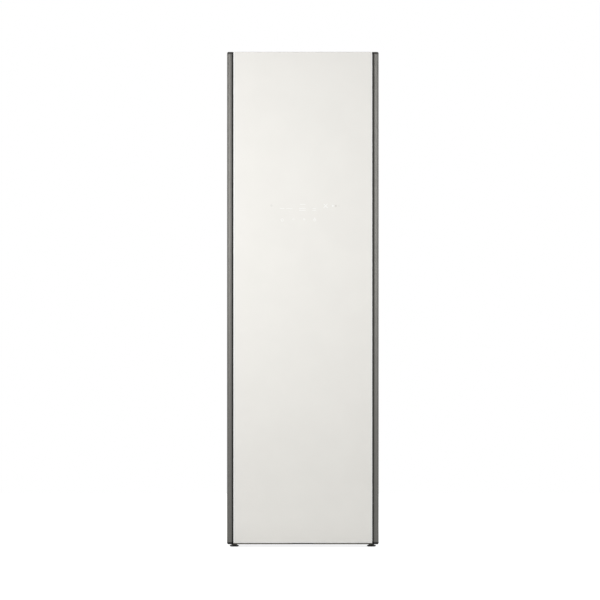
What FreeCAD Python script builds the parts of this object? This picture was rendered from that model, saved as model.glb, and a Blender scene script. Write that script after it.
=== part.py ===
import FreeCAD, Part
import math
import os

# Clothes care steam cabinet. Millimetres, +Z up, the door looks towards -Y.
# The origin is on the floor, in the middle of the cabinet's plan.

# ---------------------------------------------------------------- overall size
WIDTH = 600.0
DEPTH = 596.0
HEIGHT = 1960.0

# ---------------------------------------------------------------- casing
FOOT_HEIGHT = 16.0
HINGE_PLATE = 4.0
CASE_SIDE_INSET = 2.0
CASE_TOP_DROP = 16.0
REAR_STANDOFF = 8.0
SHEET = 0.8
REAR_FLANGE = 12.0
FRAME_DEPTH = 8.0
SILL_HEIGHT = 130.0
TOP_BAY = 94.0
OPENING_SIDE = 32.0
PAN_THICKNESS = 2.0
PAN_RIM = 30.0
LINER = 2.5
REAR_VOID = 54.0
RIB_DEPTH = 2.0
RIB_WIDTH = 12.0
RIB_PITCH = 80.0

# ---------------------------------------------------------------- door
DOOR_THICKNESS = 56.0
DOOR_FLOOR_GAP = 12.0
GASKET_SPACE = 8.0
GASKET_WIDTH = 12.0
GASKET_SEAL_GAP = 0.3
TRIM_WIDTH = 25.0
TRIM_WALL = 2.0
TRIM_CORNER = 6.0
TRIM_STEP_BACK = 4.0
TRIM_SWEEP = 8.0
GLASS = 4.0
GLASS_REVEAL = 0.5
GLASS_BOTTOM_LIP = 5.0
GLASS_TOP_LIP = 0.5
BEVEL_WIDTH = 4.5
BEVEL_DEPTH = 1.2
CAP_HEIGHT = 8.0
CAP_CORNER = 6.5
NOTCH_WIDTH = 80.0
NOTCH_HEIGHT = 4.0
NOTCH_DEPTH = 12.0
GRIP_DEPTH = 14.0
GRIP_WIDTH = 20.0
DOOR_LINER = 2.5
DOOR_LINER_INSET = 1.0
TOUCH_BOARD_WIDTH = 280.0
TOUCH_BOARD_HEIGHT = 90.0
TOUCH_BOARD_CENTRE_Z = 1326.0
TOUCH_BOARD = 1.6
TOUCH_CHIP_HEIGHT = 3.0

# ---------------------------------------------------------------- door hinge
HINGE_INSET_X = 18.0
HINGE_INSET_Y = 30.0
PIN_RADIUS = 5.0
PIN_LENGTH = 24.0
BUSH_WALL = 3.0
BUSH_FLANGE = 2.0
RUNNING_CLEARANCE = 0.05
ARM_HALF_WIDTH = 9.0
PLATE_REACH = 84.0
HINGE_BLOCK_HEIGHT = 30.0
HINGE_NOTCH_LOW = 14.0
HINGE_NOTCH_HIGH = 18.0
COLLAR_RADIUS = 8.0
COLLAR_GAP = 0.1

# ---------------------------------------------------------------- feet
FOOT_RADIUS = 18.0
FOOT_DISC = 8.0
FOOT_CHAMFER = 3.0
FOOT_HEX = 11.0
STUD_RADIUS = 5.0
STUD_LENGTH = 30.0
FOOT_INSET_X = 28.0
FOOT_FRONT_INSET = 34.0
FOOT_REAR_INSET = 40.0
BOSS_RADIUS = 14.0

# ---------------------------------------------------------------- chamber
BAY_HEIGHT = 250.0
BAY_REAR_Y = -60.0
BAY_WALL = 4.0
FLOOR_THICKNESS = 4.0
LEDGE_TOP_Z = 720.0
LEDGE_HEIGHT = 8.0
LEDGE_WIDTH = 8.0
SHELF_CLEARANCE = 4.0
SHELF_BAR = 3.5
SHELF_WIRE = 1.8
SHELF_PITCH = 26.0
SHELF_FRONT_INSET = 76.0
SHELF_REAR_INSET = 36.0
GRILLE_WIDTH = 200.0
GRILLE_DEPTH = 90.0
GRILLE_FLANGE = 8.0
GRILLE_RISE = 2.0
GRILLE_SLAT = 3.0
GRILLE_SLAT_PITCH = 10.0
LAMP_WIDTH = 180.0
LAMP_DEPTH = 30.0
LAMP_FRONT_INSET = 71.0
LAMP_FLANGE = 4.0
LAMP_RISE = 2.5
NOZZLE_RADIUS = 8.0
NOZZLE_FLANGE = 14.0

# ---------------------------------------------------------------- hanger rod and shaker
ROD_DROP = 50.0
ROD_Y = 5.0
ROD_RADIUS = 12.0
ROD_SHAFT_RADIUS = 8.0
ROD_TRAVEL = 13.0
GUIDE_WIDTH = 20.0
GUIDE_HALF_DEPTH = 16.0
GUIDE_INSET = 33.0
GUIDE_FLANGE = 10.0
GUIDE_FLANGE_HEIGHT = 6.0
ROD_END_GAP = 5.0
HOOK_PITCH = 80.0
HOOK_GROOVE_WIDTH = 7.0
HOOK_GROOVE_DEPTH = 3.5
CRANK_THROW = 15.0
CRANK_PIN = 4.0
CRANK_DISC = 24.0
CRANK_THICKNESS = 8.0
CRANK_SHAFT = 4.0
CRANK_SHAFT_LENGTH = 22.0
CRANK_OFFSET_Y = 11.25
YOKE_SIDE_CLEARANCE = 1.3
YOKE_WALL = 6.0
YOKE_HEIGHT = 8.0
YOKE_GAP = 4.0
YOKE_RISE = 6.0
STEM_HALF = 7.0
SLOT_MARGIN = 3.0
MOTOR_RADIUS = 32.0
MOTOR_HEIGHT = 44.0
BRACKET_THICKNESS = 3.0
BRACKET_HALF_WIDTH = 52.0
BRACKET_HALF_DEPTH = 32.0

# ---------------------------------------------------------------- trouser press
PRESS_HALF_WIDTH = 170.0
PRESS_BOTTOM_Z = 860.0
PRESS_TOP_Z = 1550.0
PRESS_THICKNESS = 12.0
PRESS_GAP = 12.0
PRESS_AXIS_X = 165.0
PRESS_HINGE_SETBACK = 15.0
PRESS_KNUCKLE = 8.0
PRESS_KNUCKLE_LENGTH = 60.0
PRESS_KNUCKLE_INSET = 20.0
PRESS_PIN = 4.0
PRESS_EAR = 12.0
PRESS_EAR_PLAY = 1.0
PRESS_CORNER = 14.0
PAD_THICKNESS = 4.0
PAD_MARGIN = 22.0
PAD_SPLIT = 12.0
LATCH_INSET = 20.0
LATCH_SHAFT = 5.0
LATCH_HALF_WIDTH = 7.0
LATCH_TONGUE = 40.0
LATCH_TONGUE_THICKNESS = 3.0
LATCH_LEVER = 58.0
LATCH_KNOB_HEIGHT = 12.0
LATCH_PLAY = 0.3
KEEPER_REACH = 17.0
KEEPER_WALL = 3.0
KEEPER_HALF_HEIGHT = 16.0
KEEPER_GAP = 6.0

# ---------------------------------------------------------------- tanks and filters
FILTER_BOX_HALF = 80.0
FILTER_BOX_WALL = 2.5
FILTER_BOX_DROP = 8.0
FILTER_BOX_FRONT_GAP = 4.0
FILTER_PARTITION = 5.0
FILTER_REAR_GAP = 8.0
AROMA_FRONT_GAP = 24.0
TANK_GAP = 5.0
TANK_FRONT_GAP = 5.0
TANK_TOP_DROP = 14.0
TANK_WALL = 2.5
TANK_CORNER = 14.0
LID_HEIGHT = 8.0
LID_SKIRT = 6.0
FILLER_RADIUS = 16.0
FILLER_HEIGHT = 5.0
BAIL_RADIUS = 3.5
BAIL_HALF_WIDTH = 62.0
BAIL_REAR_INSET = 34.0
BAIL_FRONT_INSET = 34.0
BAIL_EAR_WIDTH = 6.0
BAIL_EAR_HALF = 6.5
BAIL_LID_GAP = 0.5
LINT_HALF = 66.0
LINT_HEIGHT = 190.0
LINT_PLAY = 1.0
LINT_WALL = 2.5
LINT_MESH = 0.8
INTAKE_SLOT = 5.0
FLANGE_HEIGHT = 3.0
FLANGE_LIP = 5.0
GRIP_ARCH_HALF = 26.0
GRIP_ARCH_HEIGHT = 18.0
GRIP_ARCH_BAR = 5.0
AROMA_HALF = 60.0
AROMA_DEPTH = 46.0
AROMA_HEIGHT = 40.0
RETURN_HALF = 58.0
RETURN_LOW = 90.0
RETURN_HIGH = 215.0
SOCKET_RADIUS = 7.0
SOCKET_LENGTH = 12.0
SOCKET_SIDE_INSET = 48.0
SOCKET_RISE = 50.0

# ---------------------------------------------------------------- air circuit
DUCT_HALF = 130.0
DUCT_WALL = 3.0
DUCT_DEPTH = 290.0
DUCT_HEIGHT = 166.0
COIL_HALF = 105.0
COIL_DEPTH = 46.0
COIL_TOP_GAP = 23.0
HOT_PIPE_DROP = 25.0
COLD_PIPE_RISE = 40.0
COIL_FIN = 1.5
COIL_FIN_PITCH = 10.0
COIL_TUBE = 4.0
COIL_TUBE_PITCH = 30.0
COIL_GAP = 14.0
BLOWER_FRONT_GAP = 5.0
BLOWER_REAR_GAP = 12.0
BLOWER_WALL = 3.0
BLOWER_HEIGHT = 76.0
BLOWER_EYE_STEP = 4.0
BLOWER_WINDOW_SIDE = 27.0
BLOWER_MOTOR_RADIUS = 30.0
BLOWER_MOTOR_HEIGHT = 28.0
BLOWER_SHAFT = 4.0
BLOWER_POST = 5.0
IMPELLER_SIDE_GAP = 10.0
IMPELLER_HUB = 11.0
IMPELLER_GAP = 14.0
IMPELLER_PLATE = 3.0
IMPELLER_VANE_HEIGHT = 40.0
IMPELLER_VANES = 16
IMPELLER_VANE_LENGTH = 24.0
IMPELLER_VANE_THICKNESS = 2.0

# ---------------------------------------------------------------- machine compartment
COMPRESSOR_SIDE_GAP = 32.2
COMPRESSOR_REAR_GAP = 50.0
COMPRESSOR_RADIUS = 60.0
COMPRESSOR_HEIGHT = 175.0
COMPRESSOR_DOME = 24.0
COMPRESSOR_BASE = 4.0
GROMMET_RADIUS = 11.0
GROMMET_HEIGHT = 14.0
GROMMET_BORE = 4.0
PIPE_RADIUS = 4.0
PIPE_BORE = 3.0
PIPE_HOLE_CLEARANCE = 1.0
SUCTION_DUCT_GAP = 35.0
SUCTION_Z = 120.0
SUCTION_STUB = 12.0
HOSE_RADIUS = 7.0
HOSE_BORE = 4.5
PUMP_RADIUS = 24.0
PUMP_HEIGHT = 60.0
PUMP_BASE = 8.0
PUMP_Y = 40.0
PUMP_OUTLET_Z = 60.0
DRAIN_STUB_INSET = 30.0
DRAIN_DROP = 47.0
BOILER_WIDTH = 110.0
BOILER_REAR_GAP = 70.0
FEED_LENGTH = 34.0
BOILER_HEIGHT = 110.0
BOILER_LEG = 18.0
BOILER_CORNER = 12.0
CONTROL_SIDE_INSET = 18.0
CONTROL_REAR_INSET = 41.0
CONTROL_WIDTH = 160.0
CONTROL_DEPTH = 150.0
CONTROL_HEIGHT = 42.0
CONTROL_WALL = 2.0
BOARD_THICKNESS = 1.6
BOARD_STANDOFF = 6.0
BOARD_MARGIN = 4.0
RELAY_X = 14.0
RELAY_LENGTH = 20.0
RELAY_DEPTH = 16.0
RELAY_HEIGHT = 14.0
CHOKE_X = 50.0
CHOKE_LENGTH = 28.0
CHOKE_DEPTH = 22.0
CHOKE_HEIGHT = 18.0
RELAY_ROW_Y = 12.0
CAPACITOR_X = 110.0
CAPACITOR_Y = 26.0
CAPACITOR_RADIUS = 9.0
CAPACITOR_HEIGHT = 22.0
CHIP_X = 60.0
CHIP_Y = 70.0
CHIP_SIZE = 24.0
CHIP_HEIGHT = 3.0
GLAND_X = -215.0
GLAND_Z = 96.0
GLAND_RADIUS = 10.0
GLAND_FLANGE = 16.0
GLAND_FLANGE_HEIGHT = 4.0
GLAND_BORE = 4.0
GLAND_LENGTH = 16.0
SPACER_X = 200.0
SPACER_DROP = 244.0
SPACER_WIDTH = 44.0
SPACER_HEIGHT = 70.0
SPACER_CORNER = 8.0
SCREW_SHANK = 1.75
SCREW_HEAD = 3.8
SCREW_HEAD_HEIGHT = 2.0
SCREW_LENGTH = 7.0
SCREW_CLEARANCE = 0.15
SCREW_EDGE = 60.0
REAR_SCREW_PITCH = 300.0
LOUVRE_LENGTH = 90.0
LOUVRE_HEIGHT = 5.0
LOUVRE_PITCH = 14.0
LOUVRE_ROWS = 9
LOUVRE_X = 190.0
LOUVRE_BOTTOM_Z = 90.0

# ---------------------------------------------------------------- planes worked out from the sizes
HALF = WIDTH / 2
FRONT = -DEPTH / 2
BACK = DEPTH / 2
CASE_BOTTOM = FOOT_HEIGHT + HINGE_PLATE
CASE_TOP = HEIGHT - CASE_TOP_DROP
CASE_HALF = HALF - CASE_SIDE_INSET
CASE_INNER = CASE_HALF - SHEET
CASE_BACK = BACK - REAR_STANDOFF
DOOR_BACK = FRONT + DOOR_THICKNESS
CASE_FRONT = DOOR_BACK + GASKET_SPACE
FRAME_BACK = CASE_FRONT + FRAME_DEPTH
PAN_TOP = CASE_BOTTOM + PAN_THICKNESS
OPENING_HALF = HALF - OPENING_SIDE
CHAMBER_TOP = CASE_TOP - TOP_BAY
CHAMBER_BACK = CASE_BACK - REAR_VOID
BAY_FLOOR = CASE_BOTTOM + SILL_HEIGHT
CHAMBER_FLOOR = BAY_FLOOR + BAY_HEIGHT
FLOOR_UNDER = CHAMBER_FLOOR - FLOOR_THICKNESS
BAY_REAR = BAY_REAR_Y
BAY_BACK = BAY_REAR - BAY_WALL
BAY_DEPTH = BAY_BACK - FRAME_BACK
DOOR_BOTTOM = DOOR_FLOOR_GAP
GLASS_BACK = FRONT + GLASS
GLASS_HALF = HALF - TRIM_WIDTH - GLASS_REVEAL
TRIM_INNER = HALF - TRIM_WIDTH
TRIM_FRONT = FRONT + TRIM_STEP_BACK
LINER_FRONT = DOOR_BACK - DOOR_LINER
HINGE_X = HALF - HINGE_INSET_X
HINGE_Y = FRONT + HINGE_INSET_Y
HINGE_NOTCH_TOP = HEIGHT - HINGE_NOTCH_HIGH
HINGE_NOTCH_BOTTOM = DOOR_BOTTOM + HINGE_NOTCH_LOW
BLOCK_INNER = HINGE_X - 28.0
FOOT_X = HALF - FOOT_INSET_X
FOOT_FRONT_Y = CASE_FRONT + FOOT_FRONT_INSET
FOOT_REAR_Y = CASE_BACK - FOOT_REAR_INSET
BUSH_RADIUS = PIN_RADIUS + BUSH_WALL
PRESS_AXIS_Y = DOOR_BACK + PRESS_GAP + PRESS_THICKNESS / 2
LAMP_CENTRE_Y = FRAME_BACK + LAMP_FRONT_INSET
ROD_Z = CHAMBER_TOP - ROD_DROP
GUIDE_X = OPENING_HALF - GUIDE_INSET
CEILING_TOP = CHAMBER_TOP + LINER
YOKE_Z = CEILING_TOP + YOKE_RISE
CRANK_Y = ROD_Y - CRANK_OFFSET_Y
CRANK_Z = YOKE_Z + YOKE_HEIGHT + YOKE_GAP
BRACKET_Z = CRANK_Z + CRANK_THICKNESS + YOKE_GAP
DUCT_BOTTOM = FLOOR_UNDER - DUCT_HEIGHT
DUCT_FLOOR = DUCT_BOTTOM + DUCT_WALL
DUCT_BACK = BAY_REAR + DUCT_DEPTH
COIL_HEIGHT = DUCT_HEIGHT - DUCT_WALL - COIL_TOP_GAP
FILTER_BOX_TOP = FLOOR_UNDER - FILTER_BOX_DROP + FLOOR_THICKNESS
FILTER_BOX_FRONT = FRAME_BACK + FILTER_BOX_FRONT_GAP
TANK_INNER = FILTER_BOX_HALF + TANK_GAP
TANK_OUTER = OPENING_HALF - TANK_GAP
TANK_FRONT = FRAME_BACK + TANK_FRONT_GAP
TANK_BACK = BAY_BACK - TANK_GAP
TANK_TOP = CHAMBER_FLOOR - TANK_TOP_DROP
BAIL_LENGTH = TANK_BACK - TANK_FRONT - BAIL_REAR_INSET - BAIL_FRONT_INSET
LINT_BACK = BAY_BACK - FILTER_REAR_GAP
LINT_DEPTH = BAY_DEPTH - FILTER_REAR_GAP - 2 * FILTER_PARTITION - AROMA_DEPTH - AROMA_FRONT_GAP
SOCKET_X = OPENING_HALF - SOCKET_SIDE_INSET
EVAPORATOR_Y = BAY_REAR + COIL_GAP
CONDENSER_Y = EVAPORATOR_Y + COIL_DEPTH + COIL_GAP
BLOWER_FRONT = CONDENSER_Y + COIL_DEPTH + BLOWER_FRONT_GAP
BLOWER_RADIUS = (DUCT_BACK - DUCT_WALL - BLOWER_REAR_GAP - BLOWER_FRONT) / 2
BLOWER_Y = BLOWER_FRONT + BLOWER_RADIUS
IMPELLER_RADIUS = BLOWER_RADIUS - BLOWER_WALL - IMPELLER_SIDE_GAP
IMPELLER_VANE_INNER = IMPELLER_RADIUS - IMPELLER_VANE_LENGTH
BLOWER_EYE = IMPELLER_VANE_INNER + 2 * BLOWER_EYE_STEP
COMPRESSOR_X = CASE_INNER - COMPRESSOR_SIDE_GAP - COMPRESSOR_RADIUS
COMPRESSOR_Y = CASE_BACK - COMPRESSOR_REAR_GAP - COMPRESSOR_RADIUS
SUCTION_X = DUCT_HALF + SUCTION_DUCT_GAP
DRAIN_STUB_X = DUCT_HALF - DRAIN_STUB_INSET
BOILER_FRONT = PUMP_Y + PUMP_RADIUS + SOCKET_LENGTH + FEED_LENGTH
BOILER_BACK = CASE_BACK - BOILER_REAR_GAP
NOZZLE_Y = (BOILER_FRONT + BOILER_BACK) / 2
CONTROL_Y = CHAMBER_BACK - CONTROL_REAR_INSET - CONTROL_DEPTH / 2
CONTROL_X = CONTROL_SIDE_INSET + CONTROL_WIDTH / 2 - OPENING_HALF
SPACER_Z = CASE_TOP - SPACER_DROP


# ---------------------------------------------------------------- helpers
def point(x, y, z):
    return FreeCAD.Vector(x, y, z)


def box(x0, x1, y0, y1, z0, z1):
    return Part.makeBox(x1 - x0, y1 - y0, z1 - z0, point(x0, y0, z0))


def centred_box(half_x, y0, y1, z0, z1):
    return box(-half_x, half_x, y0, y1, z0, z1)


def post(radius, x, y, z0, z1):
    return Part.makeCylinder(radius, z1 - z0, point(x, y, z0))


def post_y(radius, x, z, y0, y1):
    return Part.makeCylinder(radius, y1 - y0, point(x, y0, z), point(0, 1, 0))


def post_x(radius, y, z, x0, x1):
    return Part.makeCylinder(radius, x1 - x0, point(x0, y, z), point(1, 0, 0))


def prism(outline, z0, z1):
    """A flat outline of (x, y) points, raised from z0 to z1."""
    corners = [point(x, y, z0) for x, y in outline]
    face = Part.Face(Part.makePolygon(corners + corners[:1]))
    return face.extrude(point(0, 0, z1 - z0))


def side(shape, sign):
    """The shape as built for +X, or its mirror image for -X."""
    if sign > 0:
        return shape
    return shape.mirror(point(0, 0, 0), point(1, 0, 0))


def fuse(shapes):
    return shapes[0].multiFuse(shapes[1:]).removeSplitter()


def cut(shape, tools):
    return shape.cut(Part.makeCompound(tools))


def edges_along(shape, axis):
    """Straight edges parallel to an axis, given as 0, 1 or 2 for X, Y or Z."""
    found = []
    for edge in shape.Edges:
        if not isinstance(edge.Curve, Part.Line):
            continue
        direction = edge.tangentAt(edge.FirstParameter)
        if abs(direction[axis]) > 0.999:
            found.append(edge)
    return found


def rounded_box(x0, x1, y0, y1, z0, z1, radius, axis=2):
    solid = box(x0, x1, y0, y1, z0, z1)
    return solid.makeFillet(radius, edges_along(solid, axis))


def tube(points, radius, bore, bend):
    """A tube along straight runs joined by arcs of one bend radius."""
    edges = []
    start = points[0]
    for before, corner, after in zip(points, points[1:], points[2:]):
        u = (before - corner).normalize()
        v = (after - corner).normalize()
        half = u.getAngle(v) / 2
        reach = bend / math.tan(half)
        first = corner + u * reach
        last = corner + v * reach
        bisector = (u + v).normalize()
        centre = corner + bisector * (bend / math.sin(half))
        middle = centre - bisector * bend
        edges.append(Part.LineSegment(start, first).toShape())
        edges.append(Part.Arc(first, middle, last).toShape())
        start = last
    edges.append(Part.LineSegment(start, points[-1]).toShape())
    path = Part.Wire(edges)
    heading = (points[1] - points[0]).normalize()
    solids = []
    for r in (radius, bore):
        ring = Part.Wire(Part.makeCircle(r, points[0], heading))
        solids.append(path.makePipeShell([ring], True, False))
    return solids[0].cut(solids[1])


def save(name, shape):
    shape.exportStep("parts/" + name + ".step")


# ---------------------------------------------------------------- screws
def rear_screw_sites():
    count = int((CASE_TOP - CASE_BOTTOM - 2 * SCREW_EDGE) // REAR_SCREW_PITCH)
    step = (CASE_TOP - CASE_BOTTOM - 2 * SCREW_EDGE) / count
    x = CASE_INNER - REAR_FLANGE / 2
    heights = [CASE_BOTTOM + SCREW_EDGE + i * step for i in range(count + 1)]
    return [point(s * x, CASE_BACK, z) for s in (-1, 1) for z in heights]


def top_screw_sites():
    y = CASE_FRONT + FRAME_DEPTH / 2
    xs = (-CASE_INNER + SCREW_EDGE, 0, CASE_INNER - 2 * SCREW_EDGE)
    return [point(x, y, CASE_TOP) for x in xs]


def hinge_screw_sites():
    y = HINGE_Y + PLATE_REACH
    xs = (HINGE_X - 2 * ARM_HALF_WIDTH - SCREW_HEAD, HINGE_X)
    return [point(x, y, CASE_TOP + HINGE_PLATE) for x in xs]


def screw(seat, outward):
    """A pan-head screw whose head sits on a face and whose shank runs into it."""
    head = Part.makeCylinder(SCREW_HEAD, SCREW_HEAD_HEIGHT, seat, outward)
    rim = [e for e in head.Edges if (e.CenterOfMass - seat).dot(outward) > SCREW_HEAD_HEIGHT / 2]
    head = head.makeFillet(SCREW_HEAD_HEIGHT / 2, [e for e in rim if len(e.Vertexes) == 1])
    shank = Part.makeCylinder(SCREW_SHANK, SCREW_LENGTH, seat, outward * -1)
    return head.fuse(shank)


def drill(shape, sites, outward):
    """Clearance holes for the screws at these sites."""
    holes = []
    for seat in sites:
        start = seat - outward * (SCREW_LENGTH + SCREW_CLEARANCE)
        length = SCREW_LENGTH + 2 * SCREW_CLEARANCE
        holes.append(Part.makeCylinder(SCREW_SHANK + SCREW_CLEARANCE, length, start, outward))
    return cut(shape, holes)


def case_screws():
    screws = [screw(s, point(0, 1, 0)) for s in rear_screw_sites()]
    screws += [screw(s, point(0, 0, 1)) for s in top_screw_sites() + hinge_screw_sites()]
    return Part.makeCompound(screws)


# ---------------------------------------------------------------- door
def hinge_notch(z0, z1):
    """The corner of the door that stays clear of a hinge plate over the whole swing."""
    near = HINGE_X - ARM_HALF_WIDTH - 11.0
    front_near = HINGE_Y - ARM_HALF_WIDTH - 2.0
    front_far = HINGE_Y - 2 * ARM_HALF_WIDTH - 0.5
    outside = HALF + 1.0
    behind = DOOR_BACK + 1.0
    outline = [(near, behind), (near, front_near), (HINGE_X - 2.0, front_near),
               (outside, front_far), (outside, behind)]
    return prism(outline, z0, z1)


def cut_hinge_notches(shape):
    low = hinge_notch(DOOR_BOTTOM - 1.0, HINGE_NOTCH_BOTTOM)
    high = hinge_notch(HINGE_NOTCH_TOP, HEIGHT + 1.0)
    return cut(shape, [low, high])


def door_glass():
    bottom = DOOR_BOTTOM + GLASS_BOTTOM_LIP
    top = HEIGHT - GLASS_TOP_LIP
    sheet = centred_box(GLASS_HALF, FRONT, GLASS_BACK, bottom, top)
    wedge = [(GLASS_HALF - BEVEL_WIDTH, FRONT), (GLASS_HALF, FRONT), (GLASS_HALF, FRONT + BEVEL_DEPTH)]
    right = prism(wedge, bottom, top)
    low = Part.makePolygon([point(-GLASS_HALF, FRONT, bottom + BEVEL_WIDTH),
                            point(-GLASS_HALF, FRONT, bottom),
                            point(-GLASS_HALF, FRONT + BEVEL_DEPTH, bottom),
                            point(-GLASS_HALF, FRONT, bottom + BEVEL_WIDTH)])
    lower = Part.Face(low).extrude(point(2 * GLASS_HALF, 0, 0))
    return cut(sheet, [right, side(right, -1), lower])


def trim_skin(inset):
    """Outline of the side trim, moved inwards by an inset, as a wire at z = 0."""
    out = HALF - inset
    front = TRIM_FRONT + inset
    rear = LINER_FRONT - inset
    radius = TRIM_CORNER - inset if TRIM_CORNER > inset + 0.5 else 0.5
    sweep_x = TRIM_INNER + 0.55 * TRIM_WIDTH
    inner_front = (TRIM_INNER, front + TRIM_SWEEP)
    corner_in = point(out - radius, front, 0)
    corner_mid = point(out - radius * (1 - math.sqrt(0.5)), front + radius * (1 - math.sqrt(0.5)), 0)
    corner_out = point(out, front + radius, 0)
    start = point(inner_front[0], inner_front[1], 0)
    bend = point(sweep_x, front, 0)
    middle = point((start.x + bend.x) / 2 - 1.2, (start.y + bend.y) / 2 - 1.8, 0)
    edges = [Part.Arc(start, middle, bend).toShape(),
             Part.LineSegment(bend, corner_in).toShape(),
             Part.Arc(corner_in, corner_mid, corner_out).toShape(),
             Part.LineSegment(corner_out, point(out, rear, 0)).toShape(),
             Part.LineSegment(point(out, rear, 0), point(TRIM_INNER, rear, 0)).toShape(),
             Part.LineSegment(point(TRIM_INNER, rear, 0), start).toShape()]
    return Part.Wire(edges)


def trim_bar(inset, z0, z1):
    bar = Part.Face(trim_skin(inset)).extrude(point(0, 0, z1 - z0))
    bar.translate(point(0, 0, z0))
    return bar


def grip_box(margin):
    """Space of the finger pull in the side of the left trim, built for +X."""
    rear = LINER_FRONT - TRIM_WALL - 8.0
    return box(HALF - GRIP_DEPTH - margin, HALF + 1.0, rear - GRIP_WIDTH - margin, rear + margin,
               DOOR_BOTTOM, HEIGHT)


def side_trim(sign, grip):
    """Hollow extrusion along one side of the door, open towards the foam."""
    z0 = DOOR_BOTTOM + CAP_HEIGHT
    z1 = HEIGHT - CAP_HEIGHT
    outer = trim_bar(0, z0, z1)
    inner = trim_bar(TRIM_WALL, z0, z1)
    if grip:
        outer = outer.cut(grip_box(0))
        inner = inner.cut(grip_box(TRIM_WALL))
    return side(outer.cut(inner), sign)


def door_cap(z0, z1, corner_z):
    """End cap across the whole door, with the same plan as the trims and a round outer corner."""
    middle = centred_box(TRIM_INNER, GLASS_BACK, LINER_FRONT, z0, z1)
    room = box(TRIM_INNER - 1.0, HALF, FRONT, DOOR_BACK, z0, z1)
    outside = [e for e in edges_along(room, 1)
               if abs(e.CenterOfMass.x - HALF) < 0.1 and abs(e.CenterOfMass.z - corner_z) < 0.1]
    right = trim_bar(0, z0, z1).common(room.makeFillet(CAP_CORNER, outside))
    return fuse([middle, right, side(right, -1)])


def hinge_block(z0, z1):
    inside = HALF - TRIM_WALL - 0.3
    front = HINGE_Y - BUSH_RADIUS - 5.0
    rear = LINER_FRONT - TRIM_WALL - 0.3
    wide = box(BLOCK_INNER, TRIM_INNER, front, rear, z0, z1)
    return wide.fuse(box(TRIM_INNER, inside, front, rear, z0, z1)).removeSplitter()


def door_top_cap():
    block_low = HINGE_NOTCH_TOP - HINGE_BLOCK_HEIGHT
    cap = door_cap(HEIGHT - CAP_HEIGHT, HEIGHT, HEIGHT)
    web = box(BLOCK_INNER, HINGE_X - ARM_HALF_WIDTH - 11.0, HINGE_Y - BUSH_RADIUS - 5.0,
              LINER_FRONT - TRIM_WALL - 0.3, block_low, HEIGHT - CAP_HEIGHT)
    cap = fuse([cap, web, hinge_block(block_low, HINGE_NOTCH_TOP)])
    cap = cut_hinge_notches(cap)
    return cap.cut(bush_seat(HINGE_NOTCH_TOP, -1))


def door_bottom_cap():
    block_high = HINGE_NOTCH_BOTTOM + HINGE_BLOCK_HEIGHT
    cap = door_cap(DOOR_BOTTOM, DOOR_BOTTOM + CAP_HEIGHT, DOOR_BOTTOM)
    web = box(BLOCK_INNER, HINGE_X - ARM_HALF_WIDTH - 11.0, HINGE_Y - BUSH_RADIUS - 5.0,
              LINER_FRONT - TRIM_WALL - 0.3, DOOR_BOTTOM + CAP_HEIGHT, block_high)
    cap = fuse([cap, web, hinge_block(HINGE_NOTCH_BOTTOM, block_high)])
    cap = cut_hinge_notches(cap)
    half = NOTCH_WIDTH / 2
    slot = Part.makePolygon([point(-half, GLASS_BACK, DOOR_BOTTOM),
                             point(half, GLASS_BACK, DOOR_BOTTOM),
                             point(half - NOTCH_HEIGHT, GLASS_BACK, DOOR_BOTTOM + NOTCH_HEIGHT),
                             point(NOTCH_HEIGHT - half, GLASS_BACK, DOOR_BOTTOM + NOTCH_HEIGHT),
                             point(-half, GLASS_BACK, DOOR_BOTTOM)])
    slot = Part.Face(slot).extrude(point(0, NOTCH_DEPTH, 0))
    return cut(cap, [slot, bush_seat(HINGE_NOTCH_BOTTOM, 1)])


def bush_seat(mouth, sign):
    """Blind hole in a hinge block for a flanged bush, opening at the hinge notch."""
    depth = PIN_LENGTH + 2 * BUSH_FLANGE
    low = mouth if sign > 0 else mouth - depth
    bore = post(BUSH_RADIUS + RUNNING_CLEARANCE, HINGE_X, HINGE_Y, low, low + depth)
    rim_low = mouth if sign > 0 else mouth - BUSH_FLANGE
    rim = post(BUSH_RADIUS + BUSH_FLANGE + RUNNING_CLEARANCE, HINGE_X, HINGE_Y, rim_low,
               rim_low + BUSH_FLANGE)
    return bore.fuse(rim)


def bush(mouth, sign):
    length = PIN_LENGTH
    low = mouth if sign > 0 else mouth - length
    rim_low = mouth if sign > 0 else mouth - BUSH_FLANGE
    sleeve = post(BUSH_RADIUS, HINGE_X, HINGE_Y, low, low + length)
    rim = post(BUSH_RADIUS + BUSH_FLANGE, HINGE_X, HINGE_Y, rim_low, rim_low + BUSH_FLANGE)
    bore = post(PIN_RADIUS + RUNNING_CLEARANCE, HINGE_X, HINGE_Y, low - 1.0, low + length + 1.0)
    return sleeve.fuse(rim).cut(bore)


def hinge_bushes():
    return Part.makeCompound([bush(HINGE_NOTCH_TOP, -1), bush(HINGE_NOTCH_BOTTOM, 1)])


def touch_board_box(margin, depth):
    half = TOUCH_BOARD_WIDTH / 2 + margin
    low = TOUCH_BOARD_CENTRE_Z - TOUCH_BOARD_HEIGHT / 2 - margin
    high = TOUCH_BOARD_CENTRE_Z + TOUCH_BOARD_HEIGHT / 2 + margin
    return centred_box(half, GLASS_BACK, GLASS_BACK + depth, low, high)


def touch_board():
    board = touch_board_box(0, TOUCH_BOARD)
    chips = []
    for x in (-0.34, -0.12, 0.1, 0.32):
        centre = x * TOUCH_BOARD_WIDTH
        size = TOUCH_BOARD_HEIGHT / 9
        y0 = GLASS_BACK + TOUCH_BOARD
        chips.append(box(centre - size, centre + size, y0, y0 + TOUCH_CHIP_HEIGHT,
                         TOUCH_BOARD_CENTRE_Z - size, TOUCH_BOARD_CENTRE_Z + size))
    return fuse([board] + chips)


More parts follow.
